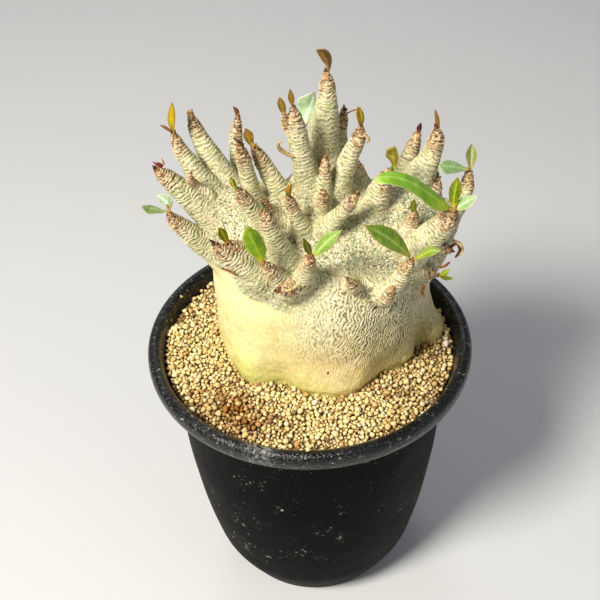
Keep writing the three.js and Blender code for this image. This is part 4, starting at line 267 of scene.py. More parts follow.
# Small buds and leaf scars: base, direction, length, radius and tint, in millimetres.
BUDS = [
    ((-55.5, -10.0, 223.9), (0.09, -0.35, 1.00), 3.55, 0.69, "orange"),
    ((-56.5, -2.0, 238.4), (-0.65, -0.35, 0.76), 5.91, 0.75, "red"),
    ((-56.0, -2.5, 239.4), (-0.61, -0.35, 0.79), 4.09, 0.51, "red"),
    ((-55.6, -2.0, 239.7), (-0.16, -0.35, 0.99), 4.71, 0.41, "bud"),
    ((-45.2, 22.0, 248.2), (0.09, -0.35, 1.00), 4.04, 0.60, "bud"),
    ((-46.3, 22.0, 247.8), (-0.26, -0.35, 0.97), 2.61, 0.42, "red"),
    ((-17.3, -8.0, 221.5), (-0.09, -0.35, 1.00), 2.90, 0.69, "rust"),
    ((-14.8, -10.0, 222.5), (-0.01, -0.35, 1.00), 3.21, 0.62, "rust"),
    ((8.6, 4.0, 236.0), (-0.06, -0.35, 1.00), 2.70, 0.69, "dark"),
    ((20.9, -8.0, 225.6), (0.01, -0.35, 1.00), 4.20, 0.62, "bud"),
    ((53.3, 8.0, 246.2), (-0.03, -0.35, 1.00), 2.90, 0.55, "red"),
    ((51.9, -4.0, 228.3), (-0.10, -0.35, 1.00), 2.55, 0.62, "rust"),
    ((44.2, -16.0, 199.1), (-0.07, -0.35, 1.00), 3.32, 0.78, "red"),
    ((34.2, -33.0, 194.7), (0.33, -0.35, 0.94), 3.17, 0.62, "rust"),
    ((31.8, -34.0, 190.3), (0.44, -0.35, 0.90), 3.03, 0.48, "rust"),
    ((46.4, -18.0, 211.7), (0.03, -0.35, 1.00), 2.42, 0.38, "red"),
    ((42.4, -18.0, 209.9), (-0.00, -0.35, 1.00), 2.34, 0.38, "red"),
    ((-12.3, -38.5, 201.2), (-0.01, -0.35, 1.00), 3.21, 0.74, "rust"),
    ((-16.1, -37.0, 203.3), (-0.05, -0.35, 1.00), 3.10, 0.47, "red"),
    ((-36.0, -25.0, 216.5), (-0.59, -0.35, 0.81), 5.01, 0.88, "dark"),
    ((-47.0, 4.0, 228.1), (0.04, -0.35, 1.00), 3.29, 0.63, "red"),
    ((15.6, -33.0, 201.5), (-0.03, -0.35, 1.00), 3.01, 0.65, "rust"),
    ((7.0, -41.0, 157.2), (0.09, -0.35, 1.00), 2.43, 0.54, "dark"),
    ((-25.5, -30.0, 210.6), (0.11, -0.35, 0.99), 2.94, 0.57, "rust"),
    ((-0.5, -22.0, 205.3), (0.06, -0.35, 1.00), 2.73, 0.55, "red"),
]

# ---------------------------------------------------------------- noise
def _table(seed):
    r = np.random.RandomState(seed)
    p = r.permutation(256).astype(np.int32)
    g = r.normal(size=(256, 3)).astype(np.float32)
    g /= np.linalg.norm(g, axis=1)[:, None]
    return np.concatenate([p, p, p]), g


_TABLES = {}


def noise(P, scale=1.0, seed=0):
    """Gradient noise, about -1..1, at points P (n, 3); scale is the size of one cell."""
    if seed not in _TABLES:
        _TABLES[seed] = _table(seed)
    perm, grad = _TABLES[seed]
    Q = (np.asarray(P, np.float32) / np.float32(scale)) + np.float32(1000.37)
    I = np.floor(Q).astype(np.int32)
    f = Q - I
    u = f * f * f * (f * (f * 6 - 15) + 10)
    I &= 255
    out = np.zeros(len(Q), np.float32)
    for dx in (0, 1):
        wx = u[:, 0] if dx else 1 - u[:, 0]
        px = perm[I[:, 0] + dx]
        for dy in (0, 1):
            wy = u[:, 1] if dy else 1 - u[:, 1]
            py = perm[px + I[:, 1] + dy]
            for dz in (0, 1):
                wz = u[:, 2] if dz else 1 - u[:, 2]
                g = grad[perm[py + I[:, 2] + dz] & 255]
                d = g[:, 0] * (f[:, 0] - dx) + g[:, 1] * (f[:, 1] - dy) + g[:, 2] * (f[:, 2] - dz)
                out += wx * wy * wz * d
    return out * 1.6


def smooth(a, b, x):
    t = np.clip((x - a) / (b - a), 0, 1)
    return t * t * (3 - 2 * t)


def smin(a, b, k):
    h = np.clip(0.5 + 0.5 * (b - a) / k, 0, 1)
    return b + (a - b) * h - k * h * (1 - h)


def spline(P, n):
    """n rows along a smooth curve through the rows of P, evenly by length of the first three columns."""
    P = np.asarray(P, float)
    s = np.r_[0, np.cumsum(np.linalg.norm(np.diff(P[:, :3], axis=0), axis=1))]
    total = s[-1]
    m = np.gradient(P, s, axis=0) if len(P) > 2 else np.repeat([(P[1] - P[0]) / total], 2, 0)
    x = np.linspace(0, total, n)
    i = np.clip(np.searchsorted(s, x, side="right") - 1, 0, len(P) - 2)
    h = (s[i + 1] - s[i])[:, None]
    t = ((x - s[i]))[:, None] / h
    return ((2 * t ** 3 - 3 * t ** 2 + 1) * P[i] + (t ** 3 - 2 * t * t + t) * h * m[i]
            + (-2 * t ** 3 + 3 * t * t) * P[i + 1] + (t ** 3 - t * t) * h * m[i + 1]), x


# ---------------------------------------------------------------- mesh helpers
def make_mesh(name, verts_mm, faces, smooth_shade=True):
    """A mesh object from points in millimetres and faces, all of one length per array or a list of arrays."""
    me = bpy.data.meshes.new(name)
    groups = faces if isinstance(faces, list) else [faces]
    groups = [np.asarray(g, np.int32) for g in groups if len(g)]
    nf = sum(len(g) for g in groups)
    nl = sum(g.size for g in groups)
    me.vertices.add(len(verts_mm))
    me.vertices.foreach_set("co", (np.asarray(verts_mm, np.float64) * MM).astype(np.float32).ravel())
    me.loops.add(nl)
    me.loops.foreach_set("vertex_index", np.concatenate([g.ravel() for g in groups]))
    me.polygons.add(nf)
    sizes = np.concatenate([np.full(len(g), g.shape[1], np.int32) for g in groups])
    starts = np.r_[0, np.cumsum(sizes)[:-1]].astype(np.int32)
    me.polygons.foreach_set("loop_start", starts)
    if smooth_shade:
        me.polygons.foreach_set("use_smooth", np.ones(nf, bool))
    me.update(calc_edges=True)
    me.validate()
    ob = bpy.data.objects.new(name, me)
    bpy.context.scene.collection.objects.link(ob)
    return ob


def add_float(ob, name, values):
    a = ob.data.attributes.new(name, "FLOAT", "POINT")
    a.data.foreach_set("value", np.asarray(values, np.float32).ravel())


def add_color(ob, name, rgb):
    a = ob.data.attributes.new(name, "FLOAT_COLOR", "POINT")
    c = np.ones((len(rgb), 4), np.float32)
    c[:, :3] = rgb
    a.data.foreach_set("color", c.ravel())


def vertex_normals(V, F):
    a, b, c = V[F[:, 0]], V[F[:, 1]], V[F[:, 2]]
    d = V[F[:, 3]] if F.shape[1] == 4 else a
    n = np.cross(c - a, d - b) if F.shape[1] == 4 else np.cross(b - a, c - a)
    N = np.zeros_like(V)
    for k in range(F.shape[1]):
        for ax in range(3):
            N[:, ax] += np.bincount(F[:, k], weights=n[:, ax], minlength=len(V))
    L = np.linalg.norm(N, axis=1)
    return N / np.maximum(L, 1e-9)[:, None]


def relax(V, F, rounds=1, amount=0.5):
    E = np.concatenate([F[:, [k, (k + 1) % F.shape[1]]] for k in range(F.shape[1])])
    i, j = E[:, 0], E[:, 1]
    deg = np.bincount(i, minlength=len(V)) + np.bincount(j, minlength=len(V))
    for _ in range(rounds):
        S = np.zeros_like(V)
        for ax in range(3):
            S[:, ax] = np.bincount(i, weights=V[j, ax], minlength=len(V)) + np.bincount(j, weights=V[i, ax], minlength=len(V))
        V = V + amount * (S / deg[:, None] - V)
    return V


def subdivide(V, F):
    """One round of Catmull-Clark on a closed quad mesh."""
    n, m = len(V), len(F)
    fp = V[F].mean(1)
    E = np.sort(np.concatenate([F[:, [k, (k + 1) % 4]] for k in range(4)]), axis=1)
    key = E[:, 0].astype(np.int64) * n + E[:, 1]
    uniq, inv = np.unique(key, return_inverse=True)
    a, b = (uniq // n).astype(int), (uniq % n).astype(int)
    ne = len(uniq)
    fid = np.tile(np.arange(m), 4)
    cnt = np.bincount(inv, minlength=ne)
    esum = np.stack([np.bincount(inv, weights=fp[fid, ax], minlength=ne) for ax in range(3)], 1)
    mid = 0.5 * (V[a] + V[b])
    ep = 0.5 * mid + 0.5 * esum / cnt[:, None]
    val = np.bincount(F.ravel(), minlength=n).astype(float)
    Qs = np.stack([np.bincount(F.ravel(), weights=np.repeat(fp[:, ax], 4), minlength=n) for ax in range(3)], 1) / val[:, None]
    ends = np.concatenate([a, b])
    ve = np.bincount(ends, minlength=n).astype(float)
    Rs = np.stack([np.bincount(ends, weights=np.tile(mid[:, ax], 2), minlength=n) for ax in range(3)], 1) / ve[:, None]
    vp = (Qs + 2 * Rs + (val[:, None] - 3) * V) / val[:, None]
    e = inv.reshape(4, m) + n
    f = np.arange(m) + n + ne
    out = [np.stack([F[:, k], e[k], f, e[(k + 3) % 4]], 1) for k in range(4)]
    return np.concatenate([vp, ep, fp]), np.concatenate(out)


# ---------------------------------------------------------------- the plant's skin
H = 0.60        # sampling step, mm
LO = np.array([-64.0, -47.0, 112.0])
HI = np.array([77.0, 66.0, 274.0])


def radius_table(t, a):
    a = (a / (2 * np.pi) * 24) % 24
    i = np.floor(a).astype(int)
    u = a - i
    s = u * u * (3 - 2 * u)
    w = 0.5 * (u + s)
    t = np.asarray(t, float)
    return t[i % 24] * (1 - w) + t[(i + 1) % 24] * w


def body_levels(z):
    L = np.array(LEVELS, float)
    out = []
    for c in (1, 2, 3):
        y = np.interp(z, L[:, 0], L[:, c])
        out.append(y)
    return out


def base_lobe(a):
    L = np.array(BASE_LOBES, float)
    t = np.arange(-30, 391)
    v = np.interp(t % 360, L[:, 0], L[:, 1])
    k = np.hanning(13)
    v = np.convolve(v, k / k.sum(), "same")
    return np.interp(np.degrees(a) % 360, t, v) * 0.9


def body_field(X, Y, z):
    dx, dy = X - CAUDEX_C[0], Y - CAUDEX_C[1]
    r = np.hypot(dx, dy)
    a = np.arctan2(dy, dx)
    Rb, Ru, sa = radius_table(BASE_R, a), radius_table(UPPER_R, a), np.maximum(0, np.sin(a))
    lobe = base_lobe(a)
    # a smooth crown: the scale follows a rounded shoulder above the widest part
    out = np.empty(X.shape + (len(z),), np.float32)
    zz = np.linspace(90, 222, 1321)
    sc, bl, bk = body_levels(zz)
    ker = np.hanning(61)
    ker /= ker.sum()
    sc, bl, bk = (np.convolve(np.pad(v, 30, mode="edge"), ker, "valid") for v in (sc, bl, bk))
    slope = np.gradient(sc, zz)
    for k, h in enumerate(z):
        s, b, d, g = (np.interp(h, zz, v) for v in (sc, bl, bk, slope))
        R = (Rb * (1 - b) + Ru * b) * (1 - d * sa)
        w = float(smooth(157, 141, np.array(h)))
        R = R + lobe * w - 1.5 * float(smooth(142, 136, np.array(h)))
        if h > 217.9:
            out[:, :, k] = np.hypot(r, (h - 217.0)) 
        else:
            out[:, :, k] = (r - R * s) / np.sqrt(1 + (R * g) ** 2)
    return out


def cone_chain(F, pts, k, gx, gy, gz, pad=5.0):
    """Blends a chain of tapered capsules into field F, in place."""
    for A, B in zip(pts[:-1], pts[1:]):
        rm = max(A[3], B[3]) + pad + k
        lo = np.minimum(A[:3], B[:3]) - rm
        hi = np.maximum(A[:3], B[:3]) + rm
        i0 = np.clip(np.floor((lo - LO) / H).astype(int), 0, None)
        i1 = np.minimum(np.ceil((hi - LO) / H).astype(int) + 1, [len(gx), len(gy), len(gz)])
        if np.any(i1 <= i0):
            continue
        x = gx[i0[0]:i1[0], None, None] - A[0]
        y = gy[None, i0[1]:i1[1], None] - A[1]
        z = gz[None, None, i0[2]:i1[2]] - A[2]
        d = (B[:3] - A[:3]).astype(np.float32)
        L2 = float(d @ d)
        t = np.clip((x * d[0] + y * d[1] + z * d[2]) / L2, 0, 1)
        dist = np.sqrt((x - t * d[0]) ** 2 + (y - t * d[1]) ** 2 + (z - t * d[2]) ** 2) - (A[3] + t * (B[3] - A[3]))
        sl = (slice(i0[0], i1[0]), slice(i0[1], i1[1]), slice(i0[2], i1[2]))
        if k <= 0:
            F[sl] = np.minimum(F[sl], dist)
        else:
            F[sl] = smin(F[sl], dist.astype(np.float32), np.float32(k))


def surface_net(F):
    S = F < 0
    c = np.zeros(tuple(n - 1 for n in S.shape), np.int8)
    for dx in (0, 1):
        for dy in (0, 1):
            for dz in (0, 1):
                c += S[dx:S.shape[0] - 1 + dx, dy:S.shape[1] - 1 + dy, dz:S.shape[2] - 1 + dz]
    idx = np.nonzero((c > 0) & (c < 8))
    cid = np.full(c.shape, -1, np.int32)
    cid[idx] = np.arange(len(idx[0]), dtype=np.int32)
    I = np.stack(idx, 1)
    P = np.zeros((len(I), 3), np.float64)
    W = np.zeros(len(I))
    corners = [(x, y, z) for x in (0, 1) for y in (0, 1) for z in (0, 1)]
    for a in corners:
        for ax in range(3):
            if a[ax]:
                continue
            b = list(a)
            b[ax] = 1
            fa = F[I[:, 0] + a[0], I[:, 1] + a[1], I[:, 2] + a[2]]
            fb = F[I[:, 0] + b[0], I[:, 1] + b[1], I[:, 2] + b[2]]
            m = (fa < 0) != (fb < 0)
            t = np.where(m, fa / np.where(m, fa - fb, 1), 0)
            q = np.zeros((len(I), 3))
            q[:] = a
            q[:, ax] = t
            P[m] += q[m]
            W[m] += 1
    P = (P / W[:, None] + I) * H + LO
    quads = []
    for ax in range(3):
        sl0 = [slice(1, -1)] * 3
        sl1 = [slice(1, -1)] * 3
        sl0[ax] = slice(0, -1)
        sl1[ax] = slice(1, None)
        s0, s1 = S[tuple(sl0)], S[tuple(sl1)]
        e = np.nonzero(s0 != s1)
        flip = ~s0[e]
        base = np.stack(e, 1)
        for q in range(3):
            if q != ax:
                base[:, q] += 1
        o1, o2 = [q for q in range(3) if q != ax]
        if ax == 1:
            o1, o2 = o2, o1
        cells = []
        for u, v in ((-1, -1), (0, -1), (0, 0), (-1, 0)):
            b = base.copy()
            b[:, o1] += u
            b[:, o2] += v
            cells.append(cid[b[:, 0], b[:, 1], b[:, 2]])
        q = np.stack(cells, 1)
        q[flip] = q[flip][:, ::-1]
        quads.append(q)
    Q = np.concatenate(quads)
    Q = Q[(Q >= 0).all(1)]
    return P, Q


def sample(F, P):
    g = (P - LO) / H
    i = np.clip(np.floor(g).astype(int), 0, np.array(F.shape) - 2)
    f = np.clip(g - i, 0, 1)
    out = 0
    for dx in (0, 1):
        for dy in (0, 1):
            for dz in (0, 1):
                w = (f[:, 0] if dx else 1 - f[:, 0]) * (f[:, 1] if dy else 1 - f[:, 1]) * (f[:, 2] if dz else 1 - f[:, 2])
                out = out + w * F[i[:, 0] + dx, i[:, 1] + dy, i[:, 2] + dz]
    return out


def build_skin():
    gx, gy, gz = (np.arange(LO[a], HI[a] + H, H, dtype=np.float32) for a in range(3))
    X, Y = np.meshgrid(gx, gy, indexing="ij")
    body = body_field(X, Y, gz)
    for arm in ARMS:
        pts, _ = spline(arm, 7)
        cone_chain(body, pts, 9.0, gx, gy, gz)
    # root swellings where the base meets the grit
    for b in BULGES:
        cone_chain(body, np.array(b, float), 5.0, gx, gy, gz)
    # close the buried end
    body = np.maximum(body, (117.0 - gz)[None, None, :].astype(np.float32))
    stems = np.full(body.shape, 9.0, np.float32)
    lines = {}
    for name, rows in STEMS.items():
        total = np.linalg.norm(np.diff(np.array(rows)[:, :3], axis=0), axis=1).sum()
        pts, s = spline(rows, max(6, int(total / 1.5)))
        slim = 0.16 * smooth(19, 9, s) if name == "stem_13" else 0.0
        pts[:, 3] *= 0.70 + 0.30 * smooth(0.0, 5.5, s) - slim
        cone_chain(stems, pts, 1.0, gx, gy, gz, pad=4.0)
        fine, sf = spline(rows, int(total / 0.5) + 2)
        slim = 0.16 * smooth(19, 9, sf) if name == "stem_13" else 0.0
        fine[:, 3] *= 0.70 + 0.30 * smooth(0.0, 5.5, sf) - slim
        lines[name] = (fine, sf)
    F = smin(body, stems, np.float32(4.0))
    V, Q = surface_net(F)
    V = relax(V, Q, 1, 0.5)
    V, Q = subdivide(V, Q)
    d_body = sample(body, V)
    N = vertex_normals(V, Q)
    return V, Q, N, d_body, lines
# ---------------------------------------------------------------- skin relief and colour
def mixc(a, b, t):
    t = np.clip(np.asarray(t), 0, 1)
    if t.ndim == 1:
        t = t[:, None]
    return np.asarray(a) * (1 - t) + np.asarray(b) * t


def skin():
    V, Q, N, d_body, lines = build_skin()
    n = len(V)
    best = np.full(n, 1e9)
    s_tip = np.full(n, 1e3)
    seed = np.zeros(n)
    rad = np.full(n, 5.0)
    side = np.zeros(n)
    for k, (name, (fine, sf)) in enumerate(lines.items()):
        lo = (fine[:, :3] - fine[:, 3:4]).min(0) - 4
        hi = (fine[:, :3] + fine[:, 3:4]).max(0) + 4
        m = np.nonzero(((V > lo) & (V < hi)).all(1))[0]
        if not len(m):
            continue
        step = 60000
        for c in range(0, len(m), step):
            mm = m[c:c + step]
            D = np.linalg.norm(V[mm][:, None, :] - fine[None, :, :3], axis=2) - fine[None, :, 3]
            j = D.argmin(1)
            d = D[np.arange(len(mm)), j]
            b = d < best[mm]
            mb = mm[b]
            best[mb] = d[b]
            # signed length along the axis, running on past the tip
            t0 = fine[1, :3] - fine[0, :3]
            t0 = t0 / np.linalg.norm(t0)
            s = sf[j[b]].copy()
            tip = j[b] == 0
            s[tip] = ((V[mb][tip] - fine[0, :3]) @ t0)
            s_tip[mb] = s
            seed[mb] = k
            rad[mb] = fine[j[b], 3]
    # how much a point belongs to a stem and not to the base
    on_stem = smooth(0.2, 3.2, d_body) * smooth(3.0, 1.0, best)
    near_tip = smooth(15.0, 2.0, s_tip) * on_stem
    x, y, z = V.T

    # ring ridges left by fallen leaves: sharp at the tips, softer at the base
    P = V + seed[:, None] * 37.1
    period = 1.72
    wob = 1.25 * noise(P, 5.5, 3) + 0.85 * noise(P, 2.6, 4) + 0.34 * noise(P, 1.1, 5)
    ph = (s_tip + wob) / period - 1.5 * smooth(9, -1, s_tip) + 0.37 * seed
    ridge = np.abs(np.sin(np.pi * ph)) ** 0.75
    wrinkle = np.abs(np.sin(np.pi * (s_tip + 0.9 * noise(P, 2.0, 6)) / 0.83))
    strength = (0.50 + 1.1 * np.clip(noise(P, 2.7, 9) + 0.42, 0, 1)) * (1 - 0.35 * smooth(14, 30, s_tip))
    ring_w = on_stem * smooth(-1.8, 0.2, s_tip)
    ring_amp = (0.62 * smooth(13, 3, s_tip) + 0.46) * ring_w * strength * np.clip(rad / 3.4, 0.5, 1.1)
    ruffle = noise(P, 1.05, 15) * smooth(10, 1, s_tip) * on_stem

    # short wavy folds: upright on the wall of the base, turning every way above
    edge_w = 1.3 + 4.5 * smooth(-20, 5, x) + 2.0 * smooth(10, 40, y)
    upper = smooth(-1, 1, (z - boundary(x, y) + 2.6 * noise(V, 9, 31) + 0.8 * noise(V, 2.5, 32)) / edge_w)
    ang = np.arctan2(y - CAUDEX_C[1], x - CAUDEX_C[0])
    arc = ang * 45.0 - 0.30 * (z - 160) * smooth(-5, 30, x)
    arc = arc + 1.8 * noise(V, 8.0, 21) + 0.95 * noise(V, 3.0, 22) + 0.50 * noise(V, 1.4, 26)
    wall = 1.0 * np.cos(2 * np.pi * arc / 1.30) + 1.5 * noise(V * np.array([1, 1, 0.80]), 0.86, 23) + 0.52 - 0.42 * smooth(2, 26, x)
    q = V + 0.40 * noise(V, 1.2, 25)[:, None]
    net = np.minimum(np.abs(noise(q, 1.30, 24)), 1.25 * np.abs(noise(q, 0.98, 27)))
    fold = smooth(-0.42, 0.42, wall) * (1 - upper) + smooth(0.015, 0.185, net) * upper
    right = smooth(-14, 20, x)
    band = (0.30 + 0.70 * smooth(143, 166, z + 5 * noise(V, 12, 33))) * (0.22 + 0.78 * right) * (0.85 + 0.3 * noise(V, 7, 34))
    band = np.clip(band, 0, 1)
    left_smooth = smooth(-6, -24, x) * smooth(6, -6, y - 22) * (1 - upper)
    band = band * (1 - 0.9 * left_smooth)
    fold_amp = (0.05 + 0.21 * band * (1 + 0.5 * smooth(10, 36, x))) * (1 - upper) + 0.27 * upper
    fold_amp *= (1 - on_stem * 0.80)
    coarse = 0.50 * noise(V, 13, 41) + 0.34 * noise(V, 5.5, 42) + 0.16 * noise(V, 2.6, 43)
    low = smooth(160, 140, z)
    coarse = coarse * (0.55 + 0.45 * upper + 0.35 * low)
    # shallow upright flutes where the wall gathers towards the shoots on the right
    flutes = 0.18 * np.cos(arc / 4.6 + 2 * noise(V, 18, 44)) * band * (1 - upper)
    fine_n = noise(V, 0.8, 51)
    ledge = 0.55 * upper * smooth(5, -15, x) * smooth(20, 2, z - boundary(x, y)) * (1 - on_stem)
    disp = (ledge + ring_amp * (ridge - 0.62) + 0.07 * ring_w * (wrinkle - 0.5) + 0.44 * ruffle
            + fold_amp * (fold - 0.6) + (coarse + flutes) * (1 - 0.6 * on_stem) + 0.05 * fine_n * (0.3 + upper))
    V2 = V + N * disp[:, None]
    V2[:, 2] = np.maximum(V2[:, 2], 113)

    # colour
    cream = np.array([0.88, 0.80, 0.40])
    gold = np.array([0.82, 0.70, 0.31])
    ygreen = np.array([0.56, 0.58, 0.12])
    blush = np.array([0.80, 0.56, 0.26])
    painted_shade_grey = np.array([0.40, 0.36, 0.19])
    col = np.tile(gold, (n, 1))
    col = mixc(col, cream, smooth(-2, -26, x + 5 * noise(V, 15, 60)) * smooth(138, 156, z))
    col = mixc(col, np.array([0.84, 0.78, 0.48]), smooth(154, 180, z) * smooth(-20, 5, x) * 0.9)
    col = mixc(col, [0.82, 0.80, 0.33], smooth(160, 145, z + 6 * noise(V, 14, 63)) * smooth(14, -12, x) * 0.75)
    col = mixc(col, ygreen, smooth(149, 138, z + 5 * noise(V, 12, 61)) * (0.55 + 0.35 * noise(V, 9, 62)))
    bl = np.exp(-(((x - 5) / 20) ** 2 + ((z - 155) / 10) ** 2)) * smooth(5, -15, y)
    col = mixc(col, blush, bl * 0.60)
    # painted shade: the right side of the base, below the crown, is greyed and darkened as the side away from the key
    # light
    sh = smooth(24, 50, x) * smooth(205, 165, z)
    col = mixc(col, painted_shade_grey, sh * 0.36)
    wall_crease = mixc(np.tile([0.22, 0.165, 0.065], (n, 1)), [0.18, 0.10, 0.072], smooth(160, 176, z) * smooth(32, 8, x) * 0.8)
    wall_crease = mixc(wall_crease, [0.50, 0.37, 0.16], smooth(164, 148, z))
    # painted shade: the creases turn much darker on the right, the side away from the key light
    wall_crease = mixc(wall_crease, wall_crease * 0.20, smooth(12, 38, x))
    col = mixc(col, wall_crease, (1 - fold) * (0.92 * band + 0.10) * (1 - 0.7 * left_smooth))
    col = mixc(col, np.array([0.93, 0.89, 0.64]), smooth(0.75, 1.0, fold) * band * 0.52)
    skin_grain = noise(V, 0.75, 65) * 0.6 + noise(V, 2.2, 66) * 0.5
    skin_grain = skin_grain + 0.8 * noise(V * np.array([1, 1, 0.4]), 0.7, 68)
    col = col * (1 + 0.15 * skin_grain)[:, None]
    col = mixc(col, col * np.array([0.90, 0.80, 0.62]), smooth(0.1, 0.6, noise(V, 5.5, 67)) * 0.35)
    ridge_up = mixc(np.tile([0.74, 0.70, 0.42], (n, 1)), [0.55, 0.57, 0.31], smooth(-0.3, 0.3, noise(V, 8, 71)))
    ridge_up = mixc(ridge_up, [0.94, 0.90, 0.70], smooth(0.05, 0.42, noise(V, 1.15, 72)) * 0.85)
    pit = mixc(np.tile([0.130, 0.112, 0.054], (n, 1)), [0.036, 0.032, 0.015], smooth(-0.3, 0.4, noise(V, 6.5, 74) + smooth(5, -25, x) * 0.35))
    up = mixc(pit, ridge_up, fold ** 0.9)
    up = mixc(up, up * np.array([1.15, 0.86, 0.72]), smooth(0.15, 0.5, noise(V, 3.4, 73)) * 0.5)
    col = mixc(col, up, upper)
    # stems
    r_cream = np.array([0.80, 0.71, 0.45])
    r_green = np.array([0.58, 0.58, 0.31])
    st = mixc(np.tile(r_cream, (n, 1)), r_green, smooth(-0.35, 0.45, noise(P, 4.2, 81) + smooth(2, 16, s_tip) * 0.45 - 0.25))
    # painted highlight: the tops of the ring ridges are paler cream
    st = mixc(st, [0.93, 0.87, 0.64], smooth(0.75, 1.0, ridge) * smooth(-0.1, 0.5, noise(P, 1.9, 83)) * 0.8)
    tipz = smooth(11, 4, s_tip + 3.5 * noise(P, 3, 84))
    st = mixc(st, [0.62, 0.41, 0.20], tipz * 0.75)
    st = mixc(st, [0.34, 0.15, 0.075], smooth(0.12, 0.42, noise(P, 2.2, 85)) * smooth(18, 5, s_tip) * 0.62)
    valley = smooth(0.74, 0.30, ridge) * np.clip(0.66 + 1.25 * noise(P, 1.7, 86) + 0.25 * smooth(14, 5, s_tip), 0.12, 1)
    dark_v = mixc(np.tile([0.095, 0.075, 0.028], (n, 1)), [0.050, 0.016, 0.007], smooth(14, 5, s_tip))
    st = mixc(st, dark_v, valley * (0.84 + 0.14 * smooth(16, 4, s_tip)))
    st = mixc(st, st * 0.72, smooth(0.5, 0.1, wrinkle) * 0.5)
    gap = smooth(0.14, 0.30, noise(P, 1.15, 87)) * smooth(9.5, 2.5, s_tip)
    st = mixc(st, [0.055, 0.018, 0.008], gap * 0.85)
    orange = smooth(0.30, 0.55, noise(P, 1.3, 88)) * smooth(6.5, 1, s_tip)
    st = mixc(st, [0.55, 0.20, 0.04], orange * 0.7)
    tip_c = smooth(1.0, -0.8, s_tip)
    st = mixc(st, np.array([0.26, 0.12, 0.03]), tip_c * 0.8)
    # the lower stems carry a trace of the same maze
    st = mixc(st, up, smooth(13, 32, s_tip) * 0.62)
    col = mixc(col, st, on_stem)
    # painted shade in the crevices between neighbouring stems
    deep = smooth(2.2, 0.2, np.abs(d_body)) * smooth(4, 1, np.abs(best)) * (1 - upper * 0.2)
    col = mixc(col, col * np.array([0.62, 0.58, 0.46]), deep * 0.6)
    speck = smooth(0.42, 0.60, noise(V, 1.1, 95))
    col = mixc(col, [0.92, 0.90, 0.76], speck * (0.12 + 0.34 * np.maximum(upper, on_stem)))
    dots = smooth(0.52, 0.66, noise(V, 1.5, 97))
    col = mixc(col, np.array([0.34, 0.13, 0.06]), dots * 0.45 * np.maximum(upper, on_stem))
    low_fleck = smooth(0.50, 0.66, noise(V, 1.7, 98)) * (1 - upper) * (1 - on_stem) * 0.35
    col = mixc(col, col * np.array([0.80, 0.66, 0.48]), low_fleck)
    ob = make_mesh("plant_skin", V2, Q)
    add_color(ob, "tone", np.clip(col, 0.008, 1))
    add_float(ob, "rough_zone", np.clip(upper + on_stem, 0, 1))
    add_float(ob, "tip", np.clip(near_tip, 0, 1))
    return ob, lines


def boundary(x, y):
    """Height where the smooth lower bark gives way to the rough upper bark."""
    a = np.arctan2(y - CAUDEX_C[1], x - CAUDEX_C[0])
    deg = (np.degrees(a) + 360) % 360
    # 180 left, 225 front left, 270 front, 315 front right, 360 right
    return np.interp(deg, [0, 30, 90, 150, 180, 200, 218, 232, 248, 262, 275, 290, 305, 320, 340, 360],
                     [172, 180, 186, 190, 196, 195, 189, 184, 184, 192, 199, 201, 190, 178, 173, 172])


